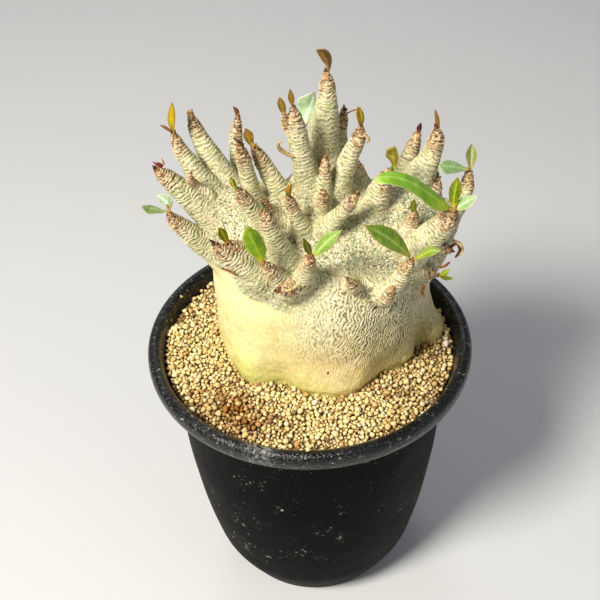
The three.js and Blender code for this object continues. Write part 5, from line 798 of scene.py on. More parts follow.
# ---------------------------------------------------------------- node helpers
class Nodes:
    def __init__(self, name):
        self.mat = bpy.data.materials.new(name)
        self.mat.use_nodes = True
        self.t = self.mat.node_tree
        self.t.nodes.clear()
        self.out = self.t.nodes.new("ShaderNodeOutputMaterial")
        self.b = self.t.nodes.new("ShaderNodeBsdfPrincipled")
        self.t.links.new(self.b.outputs[0], self.out.inputs[0])

    def link(self, a, b):
        self.t.links.new(a, b)

    def set(self, **kw):
        for k, v in kw.items():
            self.b.inputs[k.replace("_", " ")].default_value = v

    def coord(self):
        return self.t.nodes.new("ShaderNodeTexCoord").outputs["Object"]

    def attr(self, name, out="Fac"):
        n = self.t.nodes.new("ShaderNodeAttribute")
        n.attribute_name = name
        return n.outputs[out]

    def noise(self, scale, detail=4, rough=0.55, vec=None, out=0, distortion=0.0):
        n = self.t.nodes.new("ShaderNodeTexNoise")
        n.inputs["Scale"].default_value = scale
        n.inputs["Detail"].default_value = detail
        n.inputs["Roughness"].default_value = rough
        n.inputs["Distortion"].default_value = distortion
        self.link(vec if vec is not None else self.coord(), n.inputs["Vector"])
        return n.outputs[out]

    def voronoi(self, scale, feature="F1", vec=None, out="Distance"):
        n = self.t.nodes.new("ShaderNodeTexVoronoi")
        n.feature = feature
        n.inputs["Scale"].default_value = scale
        self.link(vec if vec is not None else self.coord(), n.inputs["Vector"])
        return n.outputs[out]

    def ramp(self, src, stops):
        n = self.t.nodes.new("ShaderNodeValToRGB")
        e = n.color_ramp.elements
        while len(e) < len(stops):
            e.new(0.5)
        for i, (p, c) in enumerate(stops):
            e[i].position = p
            e[i].color = tuple(c) + (1,) if len(c) == 3 else tuple(c)
        self.link(src, n.inputs[0])
        return n.outputs[0]

    def range(self, src, a, b, c=0.0, d=1.0):
        n = self.t.nodes.new("ShaderNodeMapRange")
        n.clamp = True
        for i, v in zip((1, 2, 3, 4), (a, b, c, d)):
            n.inputs[i].default_value = v
        self.link(src, n.inputs[0])
        return n.outputs[0]

    def mix(self, fac, a, b, blend="MIX"):
        n = self.t.nodes.new("ShaderNodeMix")
        n.data_type = "RGBA"
        n.blend_type = blend
        for key, v in ((0, fac), (6, a), (7, b)):
            if hasattr(v, "is_linked") or hasattr(v, "links"):
                self.link(v, n.inputs[key])
            elif key == 0:
                n.inputs[0].default_value = v
            else:
                n.inputs[key].default_value = tuple(v) + (1,) if len(v) == 3 else v
        return n.outputs[2]

    def math(self, op, a, b=None):
        n = self.t.nodes.new("ShaderNodeMath")
        n.operation = op
        for i, v in enumerate((a, b)):
            if v is None:
                continue
            if hasattr(v, "links"):
                self.link(v, n.inputs[i])
            else:
                n.inputs[i].default_value = v
        return n.outputs[0]

    def bump(self, height, strength=0.3, distance=0.0005):
        n = self.t.nodes.new("ShaderNodeBump")
        n.inputs["Strength"].default_value = strength
        n.inputs["Distance"].default_value = distance
        self.link(height, n.inputs["Height"])
        self.link(n.outputs[0], self.b.inputs["Normal"])

    def mapped(self, scale):
        n = self.t.nodes.new("ShaderNodeMapping")
        n.inputs["Scale"].default_value = scale
        self.link(self.coord(), n.inputs["Vector"])
        return n.outputs[0]


def skin_material():
    m = Nodes("bark_skin")
    tone = m.attr("tone", "Color")
    n1 = m.noise(900, 4, 0.6)
    n2 = m.noise(240, 3, 0.5)
    c = m.mix(m.range(n1, 0.3, 0.7, 0.0, 0.35), tone, (0.95, 0.90, 0.70), "MULTIPLY")
    c = m.mix(m.range(n2, 0.35, 0.7, 0.0, 0.30), c, (0.80, 0.78, 0.62), "MULTIPLY")
    m.link(c, m.b.inputs["Base Color"])
    r = m.range(m.attr("rough_zone"), 0, 1, 0.46, 0.62)
    r = m.math("ADD", r, m.range(n2, 0.3, 0.7, -0.06, 0.06))
    m.link(r, m.b.inputs["Roughness"])
    m.set(Specular_IOR_Level=0.45, Subsurface_Weight=0.0)
    h = m.math("ADD", n1, m.math("MULTIPLY", m.noise(2200, 2, 0.5), 0.5))
    m.bump(h, 0.35, 0.00025)
    return m.mat


# ---------------------------------------------------------------- pot
POT_OUTER = [(41.5, 0.0), (42.2, 0.5), (44.6, 4.8), (48.4, 12), (51.5, 19), (54.6, 32), (57.5, 48),
             (59.8, 66), (61.6, 83), (62.8, 104), (63.6, 122), (64.1, 126.6)]
POT_LIP = [(64.1, 126.6), (64.9, 127.3), (65.1, 128.6), (65.0, 129.7), (65.5, 131.0), (66.9, 132.0),
           (69.8, 132.7), (72.5, 133.3), (74.1, 134.8), (74.85, 137.0), (75.0, 139.2), (74.7, 141.0),
           (73.8, 142.3), (72.4, 142.95), (71.0, 142.9), (69.8, 142.2), (68.9, 140.8), (68.2, 138.6)]
POT_IN = [(68.2, 138.6), (67.0, 134.8), (64.8, 131.2), (62.4, 126.4), (61.2, 112), (59.7, 83), (57.7, 62),
          (54.8, 44), (51.5, 28), (47.2, 15), (43.6, 7.6), (41.2, 4.6), (38.0, 4.4)]


def dense(P, n):
    P = np.asarray(P, float)
    Q = np.c_[P, np.zeros(len(P))]
    return spline(Q, n)[0][:, :2]


def lathe_mesh(name, prof, sides, closed=False, wobble=None):
    """Revolves (r, z) points about Z. A first or last radius of 0 becomes a pole."""
    prof = np.asarray(prof, float)
    a = np.arange(sides) / sides * 2 * np.pi
    V, rows = [], []
    for r, z in prof:
        if r < 1e-6:
            rows.append([len(V)])
            V.append((0, 0, z))
        else:
            rr = np.full(sides, r)
            if wobble is not None:
                rr = rr + wobble(a, z)
            rows.append(list(range(len(V), len(V) + sides)))
            V.extend(zip(rr * np.cos(a), rr * np.sin(a), np.full(sides, z)))
    quads, tris = [], []
    pairs = list(zip(rows[:-1], rows[1:])) + ([(rows[-1], rows[0])] if closed else [])
    for p, q in pairs:
        for i in range(sides):
            j = (i + 1) % sides
            if len(p) == 1:
                tris.append((p[0], q[j], q[i]))
            elif len(q) == 1:
                tris.append((p[i], p[j], q[0]))
            else:
                quads.append((p[i], p[j], q[j], q[i]))
    return make_mesh(name, np.array(V), [np.array(quads, int).reshape(-1, 4), np.array(tris, int).reshape(-1, 3)])


def build_pot():
    lip = dense(POT_LIP, 54)
    prof = [(0, 2.2), (20, 2.2), (33.5, 2.2), (35.2, 2.1), (36.2, 0.9), (36.6, 0.15), (37.0, 0.0)]
    prof += [tuple(p) for p in dense(POT_OUTER, 46)]
    prof += [tuple(p) for p in lip[1:]]
    prof += [tuple(p) for p in dense(POT_IN, 30)[1:]]
    prof += [(20, 4.4), (0, 4.4)]
    pot = lathe_mesh("pot_shell", prof, 176)
    cutters = []
    for k in range(7):
        r = 0 if k == 0 else 25.0
        a = (k - 0.5) / 6 * 2 * math.pi
        c = lathe_mesh("cut_%d" % k, [(0, -3), (4.5, -3), (4.2, 2.4), (4.2, 9), (0, 9)], 28)
        c.location = (r * math.cos(a) * MM, r * math.sin(a) * MM, 0)
        cutters.append(c)
    for k in range(4):
        a = (k + 0.5) / 4 * 2 * math.pi
        # a low rounded arch through the foot ring
        w, h, L = 4.5, 1.5, 8.0
        arc = [(w * math.cos(t), h * math.sin(t)) for t in np.linspace(0, math.pi, 11)]
        arc = [(w, -2.0)] + arc + [(-w, -2.0)]
        V = [(-L, y, z) for y, z in arc] + [(L, y, z) for y, z in arc]
        m = len(arc)
        sides = [(i, (i + 1) % m, (i + 1) % m + m, i + m) for i in range(m)]
        me = bpy.data.meshes.new("cut_n%d" % k)
        me.from_pydata([tuple(np.array(v) * MM) for v in V], [], sides + [tuple(range(m - 1, -1, -1)), tuple(range(m, 2 * m))])
        c = bpy.data.objects.new("cut_n%d" % k, me)
        bpy.context.scene.collection.objects.link(c)
        c.matrix_world = Matrix.Rotation(a, 4, "Z") @ Matrix.Translation((39.5 * MM, 0, 0))
        cutters.append(c)
    bpy.context.view_layer.update()
    joined = join(cutters, "pot_cutters")
    mod = pot.modifiers.new("cut", "BOOLEAN")
    mod.operation = "DIFFERENCE"
    mod.solver = "EXACT"
    mod.object = joined
    bake_modifiers(pot)
    bpy.data.objects.remove(joined, do_unlink=True)
    return pot


def bake_modifiers(ob):
    dg = bpy.context.evaluated_depsgraph_get()
    me = bpy.data.meshes.new_from_object(ob.evaluated_get(dg), preserve_all_data_layers=True, depsgraph=dg)
    ob.modifiers.clear()
    old = ob.data
    ob.data = me
    me.name = ob.name
    bpy.data.meshes.remove(old)


def join(obs, name):
    """One object from several, by data, keeping their places."""
    V, F, off = [], [], 0
    for o in obs:
        M = np.array(o.matrix_world)
        co = np.empty(len(o.data.vertices) * 3)
        o.data.vertices.foreach_get("co", co)
        co = co.reshape(-1, 3) @ M[:3, :3].T + M[:3, 3]
        V.append(co)
        F.extend(tuple(v + off for v in p.vertices) for p in o.data.polygons)
        off += len(co)
    me = bpy.data.meshes.new(name)
    me.from_pydata(np.concatenate(V).tolist(), [], F)
    ob = bpy.data.objects.new(name, me)
    bpy.context.scene.collection.objects.link(ob)
    for o in obs:
        bpy.data.objects.remove(o, do_unlink=True)
    return ob


def pot_material(name, specular, rough, lip_bloom_and_sheen, gloss_bump):
    m = Nodes(name)
    co = m.coord()
    peb = m.noise(820, 3, 0.5)
    cloud = m.noise(38, 5, 0.6)
    dust = m.noise(420, 5, 0.7)
    haze = m.noise(60, 4, 0.6, vec=m.mapped((1, 1, 0.5)))
    scratch = m.noise(160, 3, 0.6, vec=m.mapped((1.0, 1.0, 0.10)))
    base = m.mix(m.range(cloud, 0.3, 0.7), (0.0010, 0.0010, 0.0009), (0.0024, 0.0023, 0.0018))
    sep = m.t.nodes.new("ShaderNodeSeparateXYZ")
    m.link(co, sep.inputs[0])
    z = sep.outputs[2]
    rim = m.range(z, 0.131, 0.137)
    # a chalky bloom of dried water on the lip and lower wall, made stronger on the lip as painted sheen
    bloom_and_sheen = m.math("MULTIPLY", m.range(haze, 0.38, 0.66), m.math("ADD", m.math("MULTIPLY", rim, lip_bloom_and_sheen), 0.02))
    base = m.mix(bloom_and_sheen, base, (0.060, 0.064, 0.058))
    patch = m.math("ADD", m.range(m.noise(70, 3, 0.6), 0.52, 0.66), m.math("MULTIPLY", rim, 0.40))
    specks = m.math("MULTIPLY", m.range(dust, 0.60, 0.665), patch)
    fines = m.math("MULTIPLY", m.range(m.noise(1300, 3, 0.7), 0.60, 0.68), m.math("ADD", m.math("MULTIPLY", rim, 0.6), m.math("MULTIPLY", patch, 0.25)))
    dx = m.math("ADD", sep.outputs[0], 0.0215)
    dy = m.math("ADD", sep.outputs[1], 0.0665)
    far = m.math("POWER", m.math("ADD", m.math("MULTIPLY", dx, dx), m.math("MULTIPLY", dy, dy)), 0.5)
    scale = m.math("MULTIPLY", m.range(far, 0.002, 0.009, 1.0, 0.0), m.range(m.noise(520, 4, 0.7), 0.46, 0.60))
    base = m.mix(m.math("MULTIPLY", specks, 0.85), base, (0.50, 0.50, 0.46))
    base = m.mix(m.math("MULTIPLY", m.math("MULTIPLY", scale, 0.6), rim), base, (0.50, 0.50, 0.46))
    base = m.mix(m.math("MULTIPLY", fines, 0.55), base, (0.26, 0.27, 0.26))
    sc = m.math("MULTIPLY", m.range(scratch, 0.66, 0.70), m.range(cloud, 0.45, 0.6))
    base = m.mix(m.math("MULTIPLY", sc, 0.35), base, (0.13, 0.13, 0.13))
    m.link(base, m.b.inputs["Base Color"])
    r = m.math("ADD", m.range(cloud, 0.3, 0.7, rough, rough + 0.10), m.math("MULTIPLY", bloom_and_sheen, 0.3))
    m.link(m.math("ADD", r, m.math("MULTIPLY", specks, 0.3)), m.b.inputs["Roughness"])
    m.set(Specular_IOR_Level=specular)
    m.bump(m.math("ADD", peb, m.math("MULTIPLY", m.noise(300, 3, 0.5), 0.5)), gloss_bump, 0.0006)
    return m.mat


# ---------------------------------------------------------------- grit
GRIT_OUT = 66.6


def caudex_radius(a):
    return radius_table(BASE_R, a) + base_lobe(a) - 1.0


def soil_level(x, y):
    return 137.3 - 0.014 * x + 0.35 * np.sin(x * 0.13 + 0.6) * np.cos(y * 0.12)


def pack_grit():
    rs = np.random.RandomState(11)
    n = 8300
    r = np.clip(rs.gamma(8, (0.83) / 8, n), 0.42, 1.65)
    # even in area between the base and the pot wall
    P = []
    while len(P) < n:
        x, y = rs.uniform(-GRIT_OUT, GRIT_OUT, 2)
        ang = math.atan2(y - CAUDEX_C[1], x - CAUDEX_C[0])
        if math.hypot(x, y) > GRIT_OUT - 1 or math.hypot(x - CAUDEX_C[0], y - CAUDEX_C[1]) < float(caudex_radius(np.array([ang]))[0]) - 1.0:
            continue
        P.append((x, y))
    P = np.array(P)
    floor = soil_level(P[:, 0], P[:, 1]) - 3.5
    Z = floor + rs.uniform(0.5, 5.5, n)
    X = np.c_[P, Z]
    for it in range(60):
        X[:, 2] -= 0.10
        if it % 6 == 0:
            tree = KDTree(n)
            for k, p in enumerate(X):
                tree.insert(p, k)
            tree.balance()
            near = [(k, q[1]) for k, p in enumerate(X) for q in tree.find_range(p, 3.1) if q[1] > k]
            i, j = np.array(near).T
            rr = (r[i] + r[j]) * 0.93
        d = X[i] - X[j]
        L = np.sqrt((d ** 2).sum(1)) + 1e-6
        pen = rr - L
        m = pen > 0
        c = (d[m] / L[m][:, None]) * (pen[m] * 0.42)[:, None]
        mv = np.zeros_like(X)
        for ax in range(3):
            mv[:, ax] = np.bincount(i[m], weights=c[:, ax], minlength=n) - np.bincount(j[m], weights=c[:, ax], minlength=n)
        X += np.clip(mv, -0.8, 0.8)
        fl = soil_level(X[:, 0], X[:, 1]) - 3.5 + r * 0.6
        X[:, 2] = np.maximum(X[:, 2], fl)
        R = np.hypot(X[:, 0], X[:, 1])
        lim = GRIT_OUT + 0.9 * (X[:, 2] - 135.0) * 0.5 - r * 0.7
        k = np.minimum(1, lim / np.maximum(R, 1e-3))
        X[:, 0] *= k
        X[:, 1] *= k
        dx, dy = X[:, 0] - CAUDEX_C[0], X[:, 1] - CAUDEX_C[1]
        R = np.hypot(dx, dy)
        lim = caudex_radius(np.arctan2(dy, dx)) + r * 0.55
        k = np.maximum(1, lim / np.maximum(R, 1e-3))
        X[:, 0] = CAUDEX_C[0] + dx * k
        X[:, 1] = CAUDEX_C[1] + dy * k
    return X, r


def icosphere(level):
    import bmesh
    bm = bmesh.new()
    bmesh.ops.create_icosphere(bm, subdivisions=level, radius=1.0)
    V = np.array([v.co[:] for v in bm.verts])
    F = np.array([[v.index for v in f.verts] for f in bm.faces])
    bm.free()
    return V, F


def grain_shapes(level, count, seed):
    V, F = icosphere(level)
    rs = np.random.RandomState(seed)
    out = []
    for k in range(count):
        s = rs.uniform(0.66, 1.25, 3)
        W = V * s
        # broken faces with worn edges make a blocky, crumbly grain
        for _ in range(rs.randint(6, 11)):
            d = rs.normal(size=3)
            d /= np.linalg.norm(d)
            h = rs.uniform(0.36, 0.80)
            over = W @ d - h
            W = W - np.maximum(over, 0)[:, None] * d * 0.92
        W = W * (1 + 0.26 * noise(W + k * 9.1, 0.6, 131))[:, None]
        W /= np.cbrt(np.abs(W).max(0).prod()) ** 0.6
        out.append(W)
    return out, F


def rotations(n, rs):
    q = rs.normal(size=(n, 4))
    q /= np.linalg.norm(q, axis=1)[:, None]
    w, x, y, z = q.T
    return np.stack([np.stack([1 - 2 * (y * y + z * z), 2 * (x * y - z * w), 2 * (x * z + y * w)], 1),
                     np.stack([2 * (x * y + z * w), 1 - 2 * (x * x + z * z), 2 * (y * z - x * w)], 1),
                     np.stack([2 * (x * z - y * w), 2 * (y * z + x * w), 1 - 2 * (x * x + y * y)], 1)], 1)


def build_grit():
    X, r = pack_grit()
    rs = np.random.RandomState(5)
    # a few grains that were spilt on the lip, and a pale pebble at the right
    extra = [(-3.0, -70.6, 143.7, 1.2), (-2.0, -67.6, 141.6, 1.1), (63.2, -6.5, 139.2, 1.9), (-62, 32, 141.2, 1.2)]
    X = np.concatenate([X, [e[:3] for e in extra]])
    r = np.concatenate([r, [e[3] for e in extra]])
    n = len(X)
    shapes, F = grain_shapes(1, 18, 3)
    pick = rs.randint(0, len(shapes), n)
    R = rotations(n, rs)
    S = np.array(shapes)[pick]
    V = np.einsum("nij,nvj->nvi", R, S) * (r * 1.05)[:, None, None] + X[:, None, :]
    nv = V.shape[1]
    faces = (F[None] + (np.arange(n) * nv)[:, None, None]).reshape(-1, 3)
    x, y, z = X.T
    base = np.array([0.99, 0.81, 0.385])
    col = np.tile(base, (n, 1))
    t = rs.uniform(size=n)
    col = mixc(col, [0.96, 0.83, 0.50], smooth(0.55, 1.0, t))
    col = mixc(col, [0.76, 0.50, 0.18], smooth(0.35, 0.0, t) * 0.8)
    k = rs.uniform(size=n)
    col[k > 0.975] = (0.86, 0.80, 0.64)
    col[k < 0.025] = (0.38, 0.23, 0.10)
    col[(k > 0.025) & (k < 0.05)] = (0.60, 0.34, 0.11)
    # damp patch at the front left
    u1 = (x + 31.5) * 0.42 - (y + 44) * 0.91
    u2 = (x + 31.5) * 0.91 + (y + 44) * 0.42
    damp = np.exp(-((u1 / 15.0) ** 2 + (u2 / 8.0) ** 2) ** 1.4)
    damp = damp + 0.50 * np.exp(-(((x + 43) / 8.0) ** 2 + ((y + 41) / 8.0) ** 2))
    damp = damp + 0.20 * np.exp(-(((x + 44) / 14.0) ** 2 + ((y + 30) / 14.0) ** 2))
    col = mixc(col, col * np.array([0.38, 0.21, 0.07]), np.clip(damp * rs.uniform(0.35, 1.4, n), 0, 1.1))
    # painted shade: grains darker in the hollow by the base at the right and across the whole right side
    hollow_and_right_shade = np.exp(-(((x - 52) / 9.0) ** 2 + ((y + 5) / 8.0) ** 2)) + 0.35 * smooth(20, 55, x)
    col = mixc(col, col * np.array([0.42, 0.30, 0.17]), np.clip(hollow_and_right_shade * rs.uniform(0.3, 1.1, n), 0, 1))
    shade = smooth(4.5, 0.5, np.hypot(x - CAUDEX_C[0], y - CAUDEX_C[1]) - caudex_radius(np.arctan2(y - CAUDEX_C[1], x - CAUDEX_C[0])))
    col = mixc(col, col * np.array([0.66, 0.50, 0.34]), shade * rs.uniform(0.0, 0.9, n))
    col[-2] = (0.86, 0.82, 0.74)
    col *= rs.uniform(0.84, 1.12, n)[:, None]
    ob = make_mesh("grit", V.reshape(-1, 3), faces, smooth_shade=False)
    cc = np.repeat(col, nv, 0)
    Vf = V.reshape(-1, 3)
    # painted shade: darker below the grit surface and on the underside of each grain, where the light does not reach
    deep = smooth(-0.4, -2.4, Vf[:, 2] - soil_level(Vf[:, 0], Vf[:, 1]))
    cc = mixc(cc, cc * np.array([0.22, 0.13, 0.07]), deep * 0.92)
    under = smooth(0.0, -0.9, (Vf[:, 2] - np.repeat(z, nv)) / np.repeat(r, nv))
    cc = mixc(cc, cc * np.array([0.50, 0.38, 0.26]), under * 0.6)
    add_color(ob, "tone", np.clip(cc, 0.006, 1))
    return ob


def grit_material():
    m = Nodes("pumice_grit")
    tone = m.attr("tone", "Color")
    n1 = m.noise(1300, 4, 0.65)
    c = m.mix(m.range(n1, 0.35, 0.65, 0.0, 0.55), tone, (0.70, 0.58, 0.42), "MULTIPLY")
    v = m.voronoi(1700)
    c = m.mix(m.range(v, 0.0, 0.22, 0.5, 0.0), c, (0.35, 0.22, 0.10), "MULTIPLY")
    m.link(c, m.b.inputs["Base Color"])
    m.set(Roughness=0.88, Specular_IOR_Level=0.3)
    m.bump(m.math("ADD", n1, m.range(v, 0, 0.3)), 0.45, 0.0003)
    return m.mat


def build_bed():
    """The packed soil under the loose grit, out to the pot wall."""
    prof = [(0, 4.8)] + [(r - 0.35, z) for r, z in [(41.0, 4.8), (43.4, 7.6), (47, 15), (51.3, 28), (54.6, 44), (57.5, 62),
            (59.5, 83), (61, 112), (62.2, 126.4), (64.6, 131.2), (66.4, 134.0)]]
    prof += [(r, 135.2) for r in (65.5, 63, 60, 57, 54, 51, 48, 45, 42, 39, 36, 30, 20)] + [(0, 135.2)]
    ob = lathe_mesh("soil_bed", prof, 120)
    me = ob.data
    co = np.empty(len(me.vertices) * 3)
    me.vertices.foreach_get("co", co)
    co = co.reshape(-1, 3) / MM
    top = co[:, 2] > 134.5
    co[top, 2] = (soil_level(co[:, 0], co[:, 1]) - 2.9 + 0.6 * noise(co, 2.3, 7) + 0.4 * noise(co, 5, 8))[top]
    me.vertices.foreach_set("co", (co * MM).ravel())
    me.update()
    return ob


def bed_material():
    m = Nodes("packed_soil")
    v = m.voronoi(330, out="Color")
    sep = m.t.nodes.new("ShaderNodeSeparateXYZ")
    m.link(v, sep.inputs[0])
    # dark soil colour, kept dark partly as painted shade in the gaps between grains
    c = m.ramp(sep.outputs[0], [(0.0, (0.03, 0.016, 0.008)), (0.6, (0.10, 0.055, 0.022)), (1.0, (0.22, 0.13, 0.05))])
    m.link(c, m.b.inputs["Base Color"])
    m.set(Roughness=0.95, Specular_IOR_Level=0.2)
    m.bump(m.voronoi(330), 0.6, 0.001)
    return m.mat


# ---------------------------------------------------------------- leaves
LEAF_LOOK = {
    # face, face 2, edge, midrib, underside, stalk, edge amount
    "vivid": ((0.155, 0.31, 0.0), (0.25, 0.42, 0.002), (0.62, 0.60, 0.22), (0.40, 0.55, 0.06), (0.30, 0.40, 0.08), (0.55, 0.52, 0.05), 0.75),
    "bright": ((0.21, 0.38, 0.025), (0.32, 0.50, 0.09), (0.62, 0.60, 0.30), (0.58, 0.70, 0.22), (0.40, 0.52, 0.14), (0.50, 0.52, 0.05), 0.5),
    "mid": ((0.24, 0.42, 0.020), (0.35, 0.54, 0.045), (0.72, 0.60, 0.36), (0.60, 0.76, 0.22), (0.36, 0.44, 0.16), (0.52, 0.50, 0.06), 0.7),
    "deep": ((0.16, 0.29, 0.014), (0.29, 0.43, 0.035), (0.56, 0.40, 0.20), (0.52, 0.66, 0.14), (0.24, 0.32, 0.10), (0.48, 0.42, 0.04), 0.7),
    "shade": ((0.045, 0.085, 0.010), (0.12, 0.16, 0.018), (0.34, 0.20, 0.06), (0.36, 0.36, 0.05), (0.16, 0.20, 0.05), (0.46, 0.38, 0.04), 0.6),
    "sage": ((0.24, 0.36, 0.15), (0.34, 0.48, 0.21), (0.66, 0.52, 0.34), (0.48, 0.58, 0.28), (0.34, 0.44, 0.22), (0.50, 0.34, 0.12), 0.9),
    "mint": ((0.24, 0.40, 0.12), (0.34, 0.50, 0.20), (0.72, 0.62, 0.42), (0.58, 0.76, 0.40), (0.46, 0.62, 0.34), (0.50, 0.48, 0.10), 0.8),
    # painted light: a very pale mint that stands in for light falling through a leaf
    "painted_light_mint": ((0.74, 0.95, 0.56), (0.80, 0.96, 0.64), (0.80, 0.80, 0.55), (0.80, 0.96, 0.66), (0.60, 0.80, 0.46), (0.50, 0.60, 0.16), 0.3),
    "lime": ((0.095, 0.14, 0.0), (0.17, 0.195, 0.0), (0.44, 0.18, 0.03), (0.46, 0.50, 0.04), (0.40, 0.42, 0.06), (0.56, 0.50, 0.04), 0.6),
    "amber": ((0.55, 0.38, 0.020), (0.68, 0.50, 0.045), (0.36, 0.10, 0.012), (0.70, 0.58, 0.14), (0.52, 0.36, 0.05), (0.42, 0.42, 0.03), 0.85),
    "olive": ((0.20, 0.17, 0.020), (0.34, 0.27, 0.035), (0.44, 0.16, 0.035), (0.50, 0.36, 0.06), (0.30, 0.22, 0.05), (0.56, 0.44, 0.03), 0.9),
    "rust": ((0.30, 0.085, 0.020), (0.44, 0.17, 0.040), (0.22, 0.03, 0.014), (0.50, 0.26, 0.06), (0.34, 0.13, 0.04), (0.60, 0.40, 0.03), 0.6),
    "taupe": ((0.20, 0.110, 0.045), (0.30, 0.18, 0.075), (0.58, 0.40, 0.22), (0.42, 0.30, 0.10), (0.26, 0.18, 0.08), (0.52, 0.46, 0.02), 0.9),
    "wine": ((0.10, 0.018, 0.010), (0.20, 0.035, 0.018), (0.06, 0.010, 0.006), (0.30, 0.08, 0.03), (0.14, 0.04, 0.02), (0.42, 0.18, 0.03), 0.5),
    "dry": ((0.36, 0.20, 0.09), (0.52, 0.36, 0.19), (0.12, 0.045, 0.02), (0.50, 0.34, 0.18), (0.34, 0.20, 0.10), (0.20, 0.09, 0.04), 0.7),
}
LEAF_KIND = {
    "leaf_01": "sage", "leaf_02": "mint", "leaf_03": "amber", "leaf_04": "rust", "leaf_05": "rust", "leaf_06": "olive",
    "leaf_07": "lime", "leaf_08": "olive", "leaf_09": "olive", "leaf_10": "olive", "leaf_11": "taupe", "leaf_12": "olive",
    "leaf_13": "taupe", "leaf_14": "wine", "leaf_15": "olive", "leaf_16": "sage", "leaf_17": "mid", "leaf_18": "mid",
    "leaf_19": "lime", "leaf_20": "mint", "leaf_21": "vivid", "leaf_22": "deep", "leaf_23": "bright", "leaf_24": "bright",
    "leaf_25": "bright", "leaf_26": "bright", "leaf_27": "shade", "leaf_28": "vivid", "leaf_29": "shade", "leaf_30": "mint",
    "dry_leaf_01": "dry",
}


# how much each blade is lighter or darker than its kind; partly painted light: leaf_30 is lightened to look lit where
# it sits in shade
LEAF_TINT = {
    "leaf_01": (0.81, 0.81, 0.61), "leaf_02": (1.15, 1.04, 1.55), "leaf_03": (0.62, 0.59, 0.05),
    "leaf_04": (0.62, 0.40, 0.41), "leaf_05": (0.54, 0.40, 0.28), "leaf_06": (0.65, 0.50, 0.28),
    "leaf_07": (1.20, 0.94, 0.28), "leaf_08": (0.85, 0.81, 0.28), "leaf_09": (0.58, 0.48, 0.28),
    "leaf_10": (0.64, 0.52, 0.40), "leaf_11": (0.90, 0.69, 0.38), "leaf_12": (1.09, 1.00, 0.36),
    "leaf_13": (0.82, 1.05, 0.28), "leaf_14": (0.40, 0.20, 0.10), "leaf_15": (0.61, 0.52, 0.28),
    "leaf_16": (1.06, 1.15, 1.02), "leaf_17": (0.92, 0.68, 1.84), "leaf_18": (0.93, 1.08, 0.86),
    "leaf_19": (0.73, 0.81, 0.28), "leaf_20": (1.05, 1.01, 1.19), "leaf_21": (0.52, 0.37, 0.28),
    "leaf_22": (0.92, 0.92, 0.91), "leaf_23": (0.69, 0.64, 0.33), "leaf_24": (1.03, 0.94, 0.28),
    "leaf_25": (0.65, 0.56, 0.28), "leaf_26": (0.85, 0.84, 0.98), "leaf_27": (0.96, 0.82, 0.28),
    "leaf_28": (0.94, 0.92, 0.28), "leaf_29": (2.06, 1.77, 0.28), "leaf_30": (1.80, 1.80, 2.70),
    "dry_leaf_01": (0.38, 0.32, 0.28),
}


